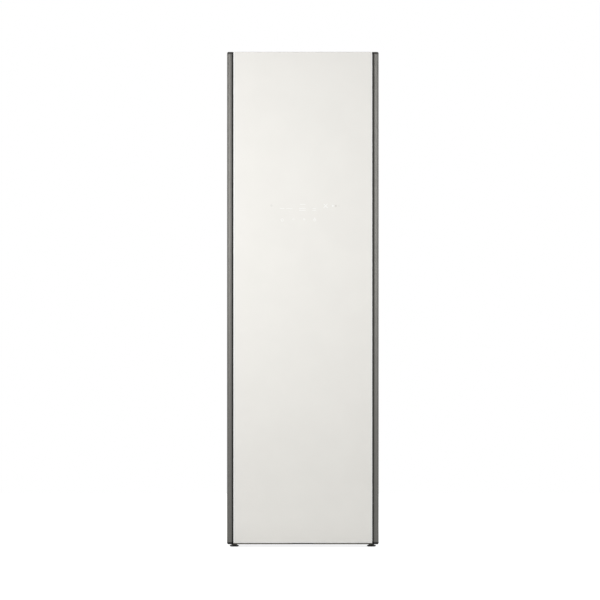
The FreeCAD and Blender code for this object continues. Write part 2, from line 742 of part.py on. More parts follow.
def door_insulation():
    low = DOOR_BOTTOM + CAP_HEIGHT
    high = HEIGHT - CAP_HEIGHT
    core = centred_box(TRIM_INNER, GLASS_BACK, LINER_FRONT, low, high)
    pocket = touch_board_box(2.0, TOUCH_BOARD + TOUCH_CHIP_HEIGHT + 2.0)
    block = HINGE_BLOCK_HEIGHT + HINGE_NOTCH_HIGH
    corner_top = box(BLOCK_INNER - 0.3, HALF, GLASS_BACK + 4.0, LINER_FRONT + 1.0,
                     HEIGHT - block - 0.3, HEIGHT)
    corner_low = box(BLOCK_INNER - 0.3, HALF, GLASS_BACK + 4.0, LINER_FRONT + 1.0, DOOR_BOTTOM,
                     HINGE_NOTCH_BOTTOM + HINGE_BLOCK_HEIGHT + 0.3)
    return cut(core, [pocket, corner_top, corner_low])


def press_ear_levels():
    """Bottom of each press hinge knuckle."""
    low = PRESS_BOTTOM_Z + PRESS_KNUCKLE_INSET
    high = PRESS_TOP_Z - PRESS_KNUCKLE_INSET - PRESS_KNUCKLE_LENGTH
    return (low, high)


def press_ear(z0):
    rear = PRESS_AXIS_Y + PRESS_KNUCKLE + 1.0
    half = PRESS_KNUCKLE
    ear = rounded_box(PRESS_AXIS_X - half, PRESS_AXIS_X + half, DOOR_BACK, rear, z0, z0 + PRESS_EAR,
                      PRESS_KNUCKLE / 4)
    bore = post(PRESS_PIN + RUNNING_CLEARANCE, PRESS_AXIS_X, PRESS_AXIS_Y, z0 - 1.0,
                z0 + PRESS_EAR + 1.0)
    return ear.cut(bore)


def latch_z():
    return (PRESS_BOTTOM_Z + PRESS_TOP_Z) / 2


def keeper():
    """Hook on the door liner that the press latch turns behind."""
    edge = -PRESS_HALF_WIDTH
    lip_front = PRESS_AXIS_Y - PRESS_THICKNESS / 2 + 1.0
    near = edge - KEEPER_GAP
    far = near - KEEPER_REACH
    low = latch_z() - KEEPER_HALF_HEIGHT
    high = latch_z() + KEEPER_HALF_HEIGHT
    wall = box(far - KEEPER_WALL, far, DOOR_BACK, lip_front + KEEPER_WALL, low, high)
    lip = box(far - KEEPER_WALL, near, lip_front, lip_front + KEEPER_WALL, low, high)
    return wall.fuse(lip)


def door_inner_liner():
    half = HALF - DOOR_LINER_INSET
    skin = centred_box(half, LINER_FRONT, DOOR_BACK, DOOR_BOTTOM + DOOR_LINER_INSET,
                       HEIGHT - DOOR_LINER_INSET)
    skin = cut_hinge_notches(skin)
    pieces = [skin, keeper()]
    for level in press_ear_levels():
        pieces.append(press_ear(level - PRESS_EAR_PLAY - PRESS_EAR))
        pieces.append(press_ear(level + PRESS_KNUCKLE_LENGTH + PRESS_EAR_PLAY))
    return fuse(pieces)


def door_gasket():
    outer = HINGE_X - 1.0
    inner = outer - GASKET_WIDTH
    margin = outer - OPENING_HALF
    low = BAY_FLOOR - margin
    high = CHAMBER_TOP + margin
    rear = CASE_FRONT - GASKET_SEAL_GAP
    ring = rounded_box(-outer, outer, DOOR_BACK, rear, low, high, GASKET_WIDTH, 1)
    hole = box(-inner, inner, DOOR_BACK - 1.0, rear + 1.0, low + GASKET_WIDTH, high - GASKET_WIDTH)
    return ring.cut(hole)


# ---------------------------------------------------------------- door hinges
def hinge_plate(z0):
    """Flat arm from the hinge axis back over the casing, wider where it is screwed down."""
    rear = HINGE_Y + PLATE_REACH + 12.0
    shoulder = CASE_FRONT + 4.0
    left = HINGE_X - 2 * ARM_HALF_WIDTH - 2 * SCREW_HEAD - 6.0
    right = HINGE_X + ARM_HALF_WIDTH
    arm = box(HINGE_X - ARM_HALF_WIDTH, right, HINGE_Y, rear, z0, z0 + HINGE_PLATE)
    foot = box(left, right, shoulder, rear, z0, z0 + HINGE_PLATE)
    nose = post(ARM_HALF_WIDTH, HINGE_X, HINGE_Y, z0, z0 + HINGE_PLATE)
    return fuse([arm, foot, nose])


def top_hinge_bracket():
    plate = hinge_plate(CASE_TOP)
    low = HINGE_NOTCH_TOP - PIN_LENGTH + COLLAR_GAP
    pin = post(PIN_RADIUS, HINGE_X, HINGE_Y, low, CASE_TOP)
    collar = post(COLLAR_RADIUS, HINGE_X, HINGE_Y, HINGE_NOTCH_TOP + COLLAR_GAP, CASE_TOP)
    bracket = fuse([plate, pin, collar])
    return drill(bracket, hinge_screw_sites(), point(0, 0, 1))


def bottom_hinge_bracket():
    plate = hinge_plate(FOOT_HEIGHT)
    collar = post(COLLAR_RADIUS, HINGE_X, HINGE_Y, CASE_BOTTOM, HINGE_NOTCH_BOTTOM - COLLAR_GAP)
    pin = post(PIN_RADIUS, HINGE_X, HINGE_Y, CASE_BOTTOM, HINGE_NOTCH_BOTTOM + PIN_LENGTH - COLLAR_GAP)
    pad = box(FOOT_X - BOSS_RADIUS, HINGE_X + ARM_HALF_WIDTH, FOOT_FRONT_Y - BOSS_RADIUS,
              FOOT_FRONT_Y + BOSS_RADIUS, FOOT_HEIGHT, CASE_BOTTOM)
    bracket = fuse([plate, collar, pin, pad])
    hole = post(STUD_RADIUS + 1.0, FOOT_X, FOOT_FRONT_Y, FOOT_HEIGHT - 1.0, CASE_BOTTOM + 1.0)
    return bracket.cut(hole)


# ---------------------------------------------------------------- casing
def side_panel(sign):
    skin = box(CASE_INNER, CASE_HALF, CASE_FRONT, CASE_BACK - SHEET, CASE_BOTTOM, CASE_TOP - SHEET)
    flange = box(CASE_INNER - REAR_FLANGE, CASE_INNER, CASE_BACK - 2 * SHEET, CASE_BACK - SHEET,
                 CASE_BOTTOM, CASE_TOP - SHEET)
    panel = fuse([skin, flange])
    sites = [s for s in rear_screw_sites() if s.x > 0]
    return side(drill(panel, sites, point(0, 1, 0)), sign)


def top_cover():
    sheet = centred_box(CASE_HALF, CASE_FRONT, CASE_BACK, CASE_TOP - SHEET, CASE_TOP)
    sheet = drill(sheet, top_screw_sites(), point(0, 0, 1))
    return drill(sheet, hinge_screw_sites(), point(0, 0, 1))


def rear_cover():
    sheet = centred_box(CASE_HALF, CASE_BACK - SHEET, CASE_BACK, CASE_BOTTOM, CASE_TOP - SHEET)
    holes = [post_y(GLAND_RADIUS + 0.3, GLAND_X, GLAND_Z, CASE_BACK - 5.0, CASE_BACK + 5.0)]
    for row in range(LOUVRE_ROWS):
        z = LOUVRE_BOTTOM_Z + row * LOUVRE_PITCH
        holes.append(box(LOUVRE_X - LOUVRE_LENGTH / 2, LOUVRE_X + LOUVRE_LENGTH / 2, CASE_BACK - 5.0,
                         CASE_BACK + 5.0, z, z + LOUVRE_HEIGHT))
    return drill(cut(sheet, holes), rear_screw_sites(), point(0, 1, 0))


def rear_spacers():
    spacers = []
    for sign in (-1, 1):
        x = sign * SPACER_X
        spacers.append(rounded_box(x - SPACER_WIDTH / 2, x + SPACER_WIDTH / 2, CASE_BACK, BACK,
                                   SPACER_Z, SPACER_Z + SPACER_HEIGHT, SPACER_CORNER, 1))
    return Part.makeCompound(spacers)


def foot_sites():
    return [(sign * FOOT_X, y) for sign in (-1, 1) for y in (FOOT_FRONT_Y, FOOT_REAR_Y)]


def base_pan():
    rear = CASE_BACK - 2 * SHEET
    rim = 1.5
    floor = centred_box(CASE_INNER, FRAME_BACK, rear, CASE_BOTTOM, PAN_TOP)
    walls = centred_box(CASE_INNER, FRAME_BACK, rear, PAN_TOP, PAN_TOP + PAN_RIM)
    walls = walls.cut(centred_box(CASE_INNER - rim, FRAME_BACK + rim, rear - rim, PAN_TOP,
                                  PAN_TOP + PAN_RIM))
    bosses = [post(BOSS_RADIUS, x, y, PAN_TOP, PAN_TOP + STUD_LENGTH) for x, y in foot_sites()]
    bosses.append(post(BOSS_RADIUS, -FOOT_X, FOOT_FRONT_Y, FOOT_HEIGHT, CASE_BOTTOM))
    bores = [post(STUD_RADIUS + RUNNING_CLEARANCE, x, y, FOOT_HEIGHT - 1.0, PAN_TOP + STUD_LENGTH + 1.0)
             for x, y in foot_sites()]
    return cut(fuse([floor, walls] + bosses), bores)


def front_frame():
    ring = centred_box(CASE_INNER, CASE_FRONT, FRAME_BACK, CASE_BOTTOM, CASE_TOP - SHEET)
    opening = rounded_box(-OPENING_HALF, OPENING_HALF, CASE_FRONT - 1.0, FRAME_BACK + 1.0, BAY_FLOOR,
                          CHAMBER_TOP, 8.0, 1)
    return drill(ring.cut(opening), top_screw_sites(), point(0, 0, 1))


def foot(x, y, top):
    disc = post(FOOT_RADIUS, x, y, 0, FOOT_DISC)
    rim = [e for e in disc.Edges if abs(e.CenterOfMass.z) < 0.01 and len(e.Vertexes) == 1]
    disc = disc.makeChamfer(FOOT_CHAMFER, rim)
    corners = []
    for i in range(6):
        angle = math.radians(60 * i)
        corners.append((x + FOOT_HEX * math.cos(angle), y + FOOT_HEX * math.sin(angle)))
    hexagon = prism(corners, FOOT_DISC, top)
    stud = post(STUD_RADIUS, x, y, top, PAN_TOP + STUD_LENGTH - 2.0)
    return fuse([disc, hexagon, stud])


def rear_feet():
    return Part.makeCompound([foot(sign * FOOT_X, FOOT_REAR_Y, CASE_BOTTOM) for sign in (-1, 1)])


# ---------------------------------------------------------------- chamber
def rib_positions(start, end):
    count = int((end - start) // RIB_PITCH)
    margin = (end - start - (count - 1) * RIB_PITCH) / 2
    return [start + margin + i * RIB_PITCH for i in range(count)]


def liner_side(sign):
    wall = box(OPENING_HALF, OPENING_HALF + LINER, FRAME_BACK, CHAMBER_BACK, FLOOR_UNDER, CHAMBER_TOP)
    ledge = box(OPENING_HALF - LEDGE_WIDTH, OPENING_HALF, FRAME_BACK + SHELF_FRONT_INSET - 10.0,
                CHAMBER_BACK - SHELF_REAR_INSET + 10.0, LEDGE_TOP_Z - LEDGE_HEIGHT, LEDGE_TOP_Z)
    pieces = [wall, ledge]
    low = LEDGE_TOP_Z + RIB_PITCH * 2
    high = CHAMBER_TOP - RIB_PITCH * 2
    for y in rib_positions(FRAME_BACK, CHAMBER_BACK):
        pieces.append(box(OPENING_HALF - RIB_DEPTH, OPENING_HALF, y - RIB_WIDTH / 2, y + RIB_WIDTH / 2,
                          low, high))
    return side(fuse(pieces), sign)


def liner_back():
    half = OPENING_HALF + LINER
    wall = centred_box(half, CHAMBER_BACK, CHAMBER_BACK + LINER, FLOOR_UNDER, CHAMBER_TOP)
    low = LEDGE_TOP_Z + RIB_PITCH * 2
    high = CHAMBER_TOP - RIB_PITCH * 2
    ribs = [box(x - RIB_WIDTH / 2, x + RIB_WIDTH / 2, CHAMBER_BACK - RIB_DEPTH, CHAMBER_BACK, low, high)
            for x in rib_positions(-OPENING_HALF, OPENING_HALF)]
    return fuse([wall] + ribs)


def lamp_box(margin, z0, z1):
    half = LAMP_WIDTH / 2 + margin
    depth = LAMP_DEPTH / 2 + margin
    return centred_box(half, LAMP_CENTRE_Y - depth, LAMP_CENTRE_Y + depth, z0, z1)


def liner_ceiling():
    half = OPENING_HALF + LINER
    sheet = centred_box(half, FRAME_BACK, CHAMBER_BACK + LINER, CHAMBER_TOP, CEILING_TOP)
    slot_half = STEM_HALF + ROD_TRAVEL + SLOT_MARGIN
    slot = centred_box(slot_half, ROD_Y - STEM_HALF - SLOT_MARGIN, ROD_Y + STEM_HALF + SLOT_MARGIN,
                       CHAMBER_TOP - 1.0, CEILING_TOP + 1.0)
    lamp = lamp_box(0, CHAMBER_TOP - 1.0, CEILING_TOP + 1.0)
    return cut(sheet, [slot, lamp])


def lamp_lens():
    body = lamp_box(-0.3, CHAMBER_TOP, CEILING_TOP)
    flange = lamp_box(LAMP_FLANGE, CHAMBER_TOP - LAMP_RISE, CHAMBER_TOP)
    return fuse([body, flange])


def grille_box(margin, z0, z1):
    half = GRILLE_WIDTH / 2 + margin
    depth = GRILLE_DEPTH / 2 + margin
    return centred_box(half, BLOWER_Y - depth, BLOWER_Y + depth, z0, z1)


def chamber_floor():
    sheet = centred_box(OPENING_HALF, BAY_BACK, CHAMBER_BACK, FLOOR_UNDER, CHAMBER_FLOOR)
    outlet = grille_box(0, FLOOR_UNDER - 1.0, CHAMBER_FLOOR + 1.0)
    nozzle = post(NOZZLE_RADIUS + 0.3, -SOCKET_X, NOZZLE_Y, FLOOR_UNDER - 1.0, CHAMBER_FLOOR + 1.0)
    return cut(sheet, [outlet, nozzle])


def air_outlet_grille():
    top = CHAMBER_FLOOR + GRILLE_RISE
    body = grille_box(-0.3, FLOOR_UNDER, top)
    flange = grille_box(GRILLE_FLANGE, CHAMBER_FLOOR, top)
    frame = body.fuse(flange)
    gap = GRILLE_SLAT_PITCH - GRILLE_SLAT
    inside = GRILLE_DEPTH - 2 * GRILLE_SLAT
    count = int(inside // GRILLE_SLAT_PITCH)
    start = BLOWER_Y - (count * GRILLE_SLAT_PITCH - GRILLE_SLAT) / 2
    half = GRILLE_WIDTH / 2 - 2 * GRILLE_SLAT
    slots = []
    for i in range(count):
        y = start + i * GRILLE_SLAT_PITCH
        slots.append(box(-half, -GRILLE_SLAT, y, y + gap, FLOOR_UNDER - 1.0, top + 1.0))
        slots.append(box(GRILLE_SLAT, half, y, y + gap, FLOOR_UNDER - 1.0, top + 1.0))
    return cut(frame, slots)


def filter_hole_y():
    """Front and back of the lint filter's hole."""
    return (LINT_BACK - LINT_DEPTH, LINT_BACK)


def aroma_hole_y():
    """Front and back of the fragrance cartridge's pocket."""
    rear = filter_hole_y()[0] - 2 * FILTER_PARTITION
    return (rear - AROMA_DEPTH, rear)


def tank_bay():
    half = OPENING_HALF + LINER
    under = BAY_FLOOR - BAY_WALL
    shell = centred_box(half, FRAME_BACK, BAY_REAR, under, FLOOR_UNDER)
    room = centred_box(OPENING_HALF, FRAME_BACK - 1.0, BAY_BACK, BAY_FLOOR, FLOOR_UNDER + 1.0)
    shell = shell.cut(room)
    wall = FILTER_BOX_WALL
    block = centred_box(FILTER_BOX_HALF, FILTER_BOX_FRONT, BAY_BACK, BAY_FLOOR, FILTER_BOX_TOP)
    lint_front, lint_back = filter_hole_y()
    aroma_front, aroma_back = aroma_hole_y()
    partition = lint_front - FILTER_PARTITION
    duct = centred_box(FILTER_BOX_HALF - wall, partition, BAY_BACK, BAY_FLOOR + wall, FILTER_BOX_TOP - wall)
    hollow = centred_box(FILTER_BOX_HALF - wall, FILTER_BOX_FRONT + wall, partition - wall, under - 1.0,
                         FILTER_BOX_TOP - AROMA_HEIGHT - 2 * wall)
    lint = centred_box(LINT_HALF, lint_front, lint_back, BAY_FLOOR + wall, FILTER_BOX_TOP + 1.0)
    aroma = centred_box(AROMA_HALF, aroma_front, aroma_back, FILTER_BOX_TOP - AROMA_HEIGHT,
                        FILTER_BOX_TOP + 1.0)
    air = centred_box(RETURN_HALF, BAY_BACK - 1.0, BAY_REAR + 1.0, BAY_FLOOR + RETURN_LOW,
                      BAY_FLOOR + RETURN_HIGH)
    sockets = []
    for sign in (-1, 1):
        sockets.append(post_y(SOCKET_RADIUS, sign * SOCKET_X, BAY_FLOOR + SOCKET_RISE, BAY_REAR,
                              BAY_REAR + SOCKET_LENGTH))
    return cut(fuse([shell, block] + sockets), [duct, hollow, lint, aroma, air])


def grip_arch(y, z0, half):
    """Small arched finger grip standing on a flange."""
    outer = rounded_box(-half, half, y - GRIP_ARCH_BAR / 2, y + GRIP_ARCH_BAR / 2, z0 - GRIP_ARCH_BAR,
                        z0 + GRIP_ARCH_HEIGHT, GRIP_ARCH_BAR, 1)
    inner = box(GRIP_ARCH_BAR - half, half - GRIP_ARCH_BAR, y - GRIP_ARCH_BAR, y + GRIP_ARCH_BAR,
                z0 - GRIP_ARCH_BAR - 1.0, z0 + GRIP_ARCH_HEIGHT - GRIP_ARCH_BAR)
    above = box(-half, half, y - GRIP_ARCH_BAR, y + GRIP_ARCH_BAR, z0, z0 + GRIP_ARCH_HEIGHT)
    return outer.cut(inner).common(above)


def slot_positions(half):
    """Centres of a row of intake slots over a width of twice the half."""
    count = int(2 * half // (2 * INTAKE_SLOT))
    return [(i - (count - 1) / 2) * 2 * INTAKE_SLOT for i in range(count)]


def lint_filter():
    front, back = filter_hole_y()
    half = LINT_HALF - LINT_PLAY
    y0 = front + LINT_PLAY
    y1 = back - LINT_PLAY
    bottom = FILTER_BOX_TOP - LINT_HEIGHT
    top = FILTER_BOX_TOP + FLANGE_HEIGHT
    basket = centred_box(half, y0, y1, bottom, FILTER_BOX_TOP)
    wall = LINT_WALL
    hollow = centred_box(half - wall, y0 + wall, y1 - wall, bottom + wall, FILTER_BOX_TOP)
    flange = centred_box(half + FLANGE_LIP, front - FLANGE_LIP + 1.0, back + FLANGE_LIP,
                         FILTER_BOX_TOP, top)
    basket = fuse([basket.cut(hollow), flange])
    windows = []
    frame = 10.0
    for low, high in ((y0 + LINT_MESH, y0 + wall + 1.0), (y1 - wall - 1.0, y1 - LINT_MESH)):
        for x0, x1 in ((frame - half, -frame / 2), (frame / 2, half - frame)):
            windows.append(box(x0, x1, low, high, bottom + frame, FILTER_BOX_TOP - frame))
    middle = (y0 + y1) / 2
    for low, high in ((y0 + 2 * wall, middle - GRIP_ARCH_BAR), (middle + GRIP_ARCH_BAR, y1 - 2 * wall)):
        for x in slot_positions(half - frame):
            windows.append(box(x - INTAKE_SLOT / 2, x + INTAKE_SLOT / 2, low, high, FILTER_BOX_TOP - 1.0,
                               top + 1.0))
    basket = cut(basket, windows)
    return fuse([basket, grip_arch(middle, top, GRIP_ARCH_HALF)])


def aroma_kit():
    front, back = aroma_hole_y()
    half = AROMA_HALF - LINT_PLAY
    top = FILTER_BOX_TOP + FLANGE_HEIGHT
    cup = centred_box(half, front + LINT_PLAY, back - LINT_PLAY, FILTER_BOX_TOP - AROMA_HEIGHT + LINT_PLAY,
                      FILTER_BOX_TOP)
    lip = centred_box(half + FLANGE_LIP, front - FLANGE_LIP + 1.0, back + FLANGE_LIP - 1.0,
                      FILTER_BOX_TOP, top)
    vents = [box(x - INTAKE_SLOT / 2, x + INTAKE_SLOT / 2, front + 8.0, back - 22.0,
                 FILTER_BOX_TOP - 12.0, top + 1.0) for x in slot_positions(half - 6.0)]
    body = cut(cup.fuse(lip), vents)
    return fuse([body, grip_arch(back - 10.0, top, GRIP_ARCH_HALF)])


# ---------------------------------------------------------------- tanks
def tank(sign):
    """Tank with its lid as a second solid and a filler cap as a third, built for +X."""
    shell = rounded_box(TANK_INNER, TANK_OUTER, TANK_FRONT, TANK_BACK, BAY_FLOOR, TANK_TOP - LID_HEIGHT,
                        TANK_CORNER)
    room = rounded_box(TANK_INNER + TANK_WALL, TANK_OUTER - TANK_WALL, TANK_FRONT + TANK_WALL,
                       TANK_BACK - TANK_WALL, BAY_FLOOR + TANK_WALL, TANK_TOP, TANK_CORNER - TANK_WALL)
    shell = shell.cut(room)
    lid = rounded_box(TANK_INNER, TANK_OUTER, TANK_FRONT, TANK_BACK, TANK_TOP - LID_HEIGHT, TANK_TOP,
                      TANK_CORNER)
    fit = TANK_WALL + 0.3
    skirt = rounded_box(TANK_INNER + fit, TANK_OUTER - fit, TANK_FRONT + fit, TANK_BACK - fit,
                        TANK_TOP - LID_HEIGHT - LID_SKIRT, TANK_TOP - 3.0, TANK_CORNER - fit)
    under = rounded_box(TANK_INNER + 2 * fit, TANK_OUTER - 2 * fit, TANK_FRONT + 2 * fit,
                        TANK_BACK - 2 * fit, TANK_TOP - LID_HEIGHT - LID_SKIRT - 1.0, TANK_TOP - 3.0,
                        TANK_CORNER - 2 * fit)
    middle = (TANK_INNER + TANK_OUTER) / 2
    filler_y = bail_axis_y() - BAIL_LENGTH / 2
    hole = post(FILLER_RADIUS - 4.0, middle, filler_y, TANK_TOP - 9.0, TANK_TOP + 1.0)
    lid = cut(lid.fuse(skirt), [under, hole])
    ears = []
    for x0 in bail_ear_sites():
        y = bail_axis_y()
        ear = box(x0, x0 + BAIL_EAR_WIDTH, y - BAIL_EAR_HALF, y + BAIL_EAR_HALF, TANK_TOP,
                  bail_axis_z() + BAIL_EAR_HALF)
        bore = post_x(BAIL_RADIUS + RUNNING_CLEARANCE, y, bail_axis_z(), x0 - 1.0, x0 + BAIL_EAR_WIDTH + 1.0)
        ears.append(ear.cut(bore))
    lid = fuse([lid] + ears)
    cap = post(FILLER_RADIUS, middle, filler_y, TANK_TOP, TANK_TOP + FILLER_HEIGHT)
    cap = cap.fuse(post(FILLER_RADIUS - 4.3, middle, filler_y, TANK_TOP - 6.0, TANK_TOP))
    return side(Part.makeCompound([shell, lid, cap]), sign)


def bail_axis_y():
    return TANK_BACK - BAIL_REAR_INSET


def bail_axis_z():
    return TANK_TOP + BAIL_RADIUS + BAIL_LID_GAP


def bail_ear_sites():
    """Inner X face of each ear, outside the bail's two legs."""
    middle = (TANK_INNER + TANK_OUTER) / 2
    left = middle - BAIL_HALF_WIDTH - BAIL_RADIUS - 1.0 - BAIL_EAR_WIDTH
    right = middle + BAIL_HALF_WIDTH + BAIL_RADIUS + 1.0
    return (left, right)


def tank_handle(sign):
    """Bail of round rod lying forward on the lid, its ends turned out into the ears."""
    middle = (TANK_INNER + TANK_OUTER) / 2
    y = bail_axis_y()
    z = bail_axis_z()
    r = BAIL_RADIUS
    left, right = bail_ear_sites()
    front = y - BAIL_LENGTH
    axle_left = post_x(r, y, z, left + 0.5, middle - BAIL_HALF_WIDTH)
    axle_right = post_x(r, y, z, middle + BAIL_HALF_WIDTH, right + BAIL_EAR_WIDTH - 0.5)
    legs = [post_y(r, middle + s * BAIL_HALF_WIDTH, z, front, y) for s in (-1, 1)]
    cross = post_x(r, front, z, middle - BAIL_HALF_WIDTH, middle + BAIL_HALF_WIDTH)
    joints = [Part.makeSphere(r, point(middle + s * BAIL_HALF_WIDTH, v, z))
              for s in (-1, 1) for v in (front, y)]
    return side(fuse([axle_left, axle_right, cross] + legs + joints), sign)


# ---------------------------------------------------------------- shelf
def garment_shelf():
    half = OPENING_HALF - SHELF_CLEARANCE - SHELF_BAR
    y0 = FRAME_BACK + SHELF_FRONT_INSET
    y1 = CHAMBER_BACK - SHELF_REAR_INSET
    z = LEDGE_TOP_Z + SHELF_BAR
    bars = [post_y(SHELF_BAR, s * half, z, y0, y1) for s in (-1, 1)]
    bars += [post_x(SHELF_BAR, y, z, -half, half) for y in (y0, y1)]
    bars += [Part.makeSphere(SHELF_BAR, point(s * half, y, z)) for s in (-1, 1) for y in (y0, y1)]
    count = int((2 * half) // SHELF_PITCH)
    step = 2 * half / count
    wires = [post_y(SHELF_WIRE, -half + i * step, z + SHELF_WIRE, y0, y1) for i in range(1, count)]
    wires.append(post_x(SHELF_WIRE, (y0 + y1) / 2, z - SHELF_WIRE / 2, -half, half))
    return fuse(bars + wires)


# ---------------------------------------------------------------- hanger rod and its drive
def rod_guides():
    guides = []
    low = ROD_Z - GUIDE_HALF_DEPTH
    for sign in (-1, 1):
        x0 = GUIDE_X - GUIDE_WIDTH / 2
        x1 = GUIDE_X + GUIDE_WIDTH / 2
        arm = rounded_box(x0, x1, ROD_Y - GUIDE_HALF_DEPTH, ROD_Y + GUIDE_HALF_DEPTH, low, CHAMBER_TOP,
                          GUIDE_HALF_DEPTH / 3, 0)
        flange = box(x0 - GUIDE_FLANGE, x1 + GUIDE_FLANGE, ROD_Y - GUIDE_HALF_DEPTH,
                     ROD_Y + GUIDE_HALF_DEPTH, CHAMBER_TOP - GUIDE_FLANGE_HEIGHT, CHAMBER_TOP)
        bore = post_x(ROD_SHAFT_RADIUS + RUNNING_CLEARANCE, ROD_Y, ROD_Z, x0 - 1.0, x1 + 1.0)
        guides.append(side(fuse([arm, flange]).cut(bore), sign))
    return Part.makeCompound(guides)


def hanger_rod():
    shoulder = GUIDE_X - GUIDE_WIDTH / 2 - ROD_TRAVEL - ROD_END_GAP
    end = OPENING_HALF - ROD_TRAVEL - ROD_END_GAP
    rod = post_x(ROD_RADIUS, ROD_Y, ROD_Z, -shoulder, shoulder)
    shaft = post_x(ROD_SHAFT_RADIUS, ROD_Y, ROD_Z, -end, end)
    stem = centred_box(STEM_HALF, ROD_Y - STEM_HALF, ROD_Y + STEM_HALF, ROD_Z, YOKE_Z)
    slot_half = CRANK_PIN + YOKE_SIDE_CLEARANCE
    slot_front = CRANK_Y - CRANK_PIN
    slot_back = CRANK_Y + CRANK_THROW + CRANK_PIN + 1.5
    yoke = rounded_box(-slot_half - YOKE_WALL, slot_half + YOKE_WALL, slot_front - YOKE_WALL,
                       slot_back + YOKE_WALL, YOKE_Z, YOKE_Z + YOKE_HEIGHT, YOKE_WALL)
    yoke = yoke.cut(centred_box(slot_half, slot_front, slot_back, YOKE_Z + 1.5, YOKE_Z + YOKE_HEIGHT))
    solid = fuse([rod, shaft, stem, yoke])
    grooves = []
    for i in (-2, -1, 1, 2):
        x = i * HOOK_PITCH
        width = HOOK_GROOVE_WIDTH / 2
        ring = post_x(ROD_RADIUS + 1.0, ROD_Y, ROD_Z, x - width, x + width)
        core = post_x(ROD_RADIUS - HOOK_GROOVE_DEPTH, ROD_Y, ROD_Z, x - width, x + width)
        grooves.append(ring.cut(core))
    return cut(solid, grooves)


def shaker_crank():
    disc = post(CRANK_DISC, 0, CRANK_Y, CRANK_Z, CRANK_Z + CRANK_THICKNESS)
    pin = post(CRANK_PIN, 0, CRANK_Y + CRANK_THROW, YOKE_Z + 2.5, CRANK_Z)
    shaft = post(CRANK_SHAFT, 0, CRANK_Y, CRANK_Z + CRANK_THICKNESS,
                 CRANK_Z + CRANK_THICKNESS + CRANK_SHAFT_LENGTH)
    return fuse([disc, pin, shaft])


def shaker_bracket():
    y0 = CRANK_Y - BRACKET_HALF_DEPTH
    y1 = CRANK_Y + BRACKET_HALF_DEPTH
    half = BRACKET_HALF_WIDTH
    top = centred_box(half, y0, y1, BRACKET_Z, BRACKET_Z + BRACKET_THICKNESS)
    pieces = [top]
    for sign in (-1, 1):
        leg = box(half - BRACKET_THICKNESS, half, y0, y1, CEILING_TOP, BRACKET_Z)
        toe = box(half, half + 4 * BRACKET_THICKNESS, y0, y1, CEILING_TOP, CEILING_TOP + BRACKET_THICKNESS)
        pieces += [side(leg, sign), side(toe, sign)]
    hole = post(CRANK_SHAFT + 2.0, 0, CRANK_Y, BRACKET_Z - 1.0, BRACKET_Z + BRACKET_THICKNESS + 1.0)
    return fuse(pieces).cut(hole)


def shaker_motor():
    low = BRACKET_Z + BRACKET_THICKNESS
    can = post(MOTOR_RADIUS, 0, CRANK_Y, low, low + MOTOR_HEIGHT)
    rim = [e for e in can.Edges if len(e.Vertexes) == 1 and e.CenterOfMass.z > low + 1.0]
    can = can.makeFillet(5.0, rim)
    lug = centred_box(MOTOR_RADIUS + 12.0, CRANK_Y - 7.0, CRANK_Y + 7.0, low, low + 4.0)
    bore = post(CRANK_SHAFT + RUNNING_CLEARANCE, 0, CRANK_Y, low - 1.0,
                CRANK_Z + CRANK_THICKNESS + CRANK_SHAFT_LENGTH + 2.0)
    return fuse([can, lug]).cut(bore)


# ---------------------------------------------------------------- trouser press
def press_plate():
    half = PRESS_THICKNESS / 2
    y0 = PRESS_AXIS_Y - half
    y1 = PRESS_AXIS_Y + half
    right = PRESS_AXIS_X - PRESS_HINGE_SETBACK
    board = rounded_box(-PRESS_HALF_WIDTH, right, y0, y1, PRESS_BOTTOM_Z, PRESS_TOP_Z, PRESS_CORNER, 1)
    pieces = [board]
    for low in press_ear_levels():
        high = low + PRESS_KNUCKLE_LENGTH
        pieces.append(post(PRESS_KNUCKLE, PRESS_AXIS_X, PRESS_AXIS_Y, low, high))
        pieces.append(box(right - 1.0, PRESS_AXIS_X, y0 + 2.0, y1 - 2.0, low, high))
        reach = PRESS_EAR + PRESS_EAR_PLAY
        pieces.append(post(PRESS_PIN, PRESS_AXIS_X, PRESS_AXIS_Y, low - reach, high + reach))
    plate = fuse(pieces)
    x = latch_x()
    hole = post_y(LATCH_SHAFT + RUNNING_CLEARANCE, x, latch_z(), y0 - 1.0, y1 + 1.0)
    return plate.cut(hole)


def latch_x():
    return LATCH_INSET - PRESS_HALF_WIDTH


def press_pads():
    y1 = PRESS_AXIS_Y - PRESS_THICKNESS / 2
    y0 = y1 - PAD_THICKNESS
    low = PRESS_BOTTOM_Z + PAD_MARGIN
    high = PRESS_TOP_Z - PAD_MARGIN
    left = latch_x() + LATCH_HALF_WIDTH + LATCH_PLAY + 9.0
    right = PRESS_AXIS_X - PRESS_HINGE_SETBACK - PAD_MARGIN / 2
    middle = (left + right) / 2
    gap = PAD_SPLIT / 2
    pads = [rounded_box(left, middle - gap, y0, y1, low, high, 8.0, 1),
            rounded_box(middle + gap, right, y0, y1, low, high, 8.0, 1)]
    return Part.makeCompound(pads)


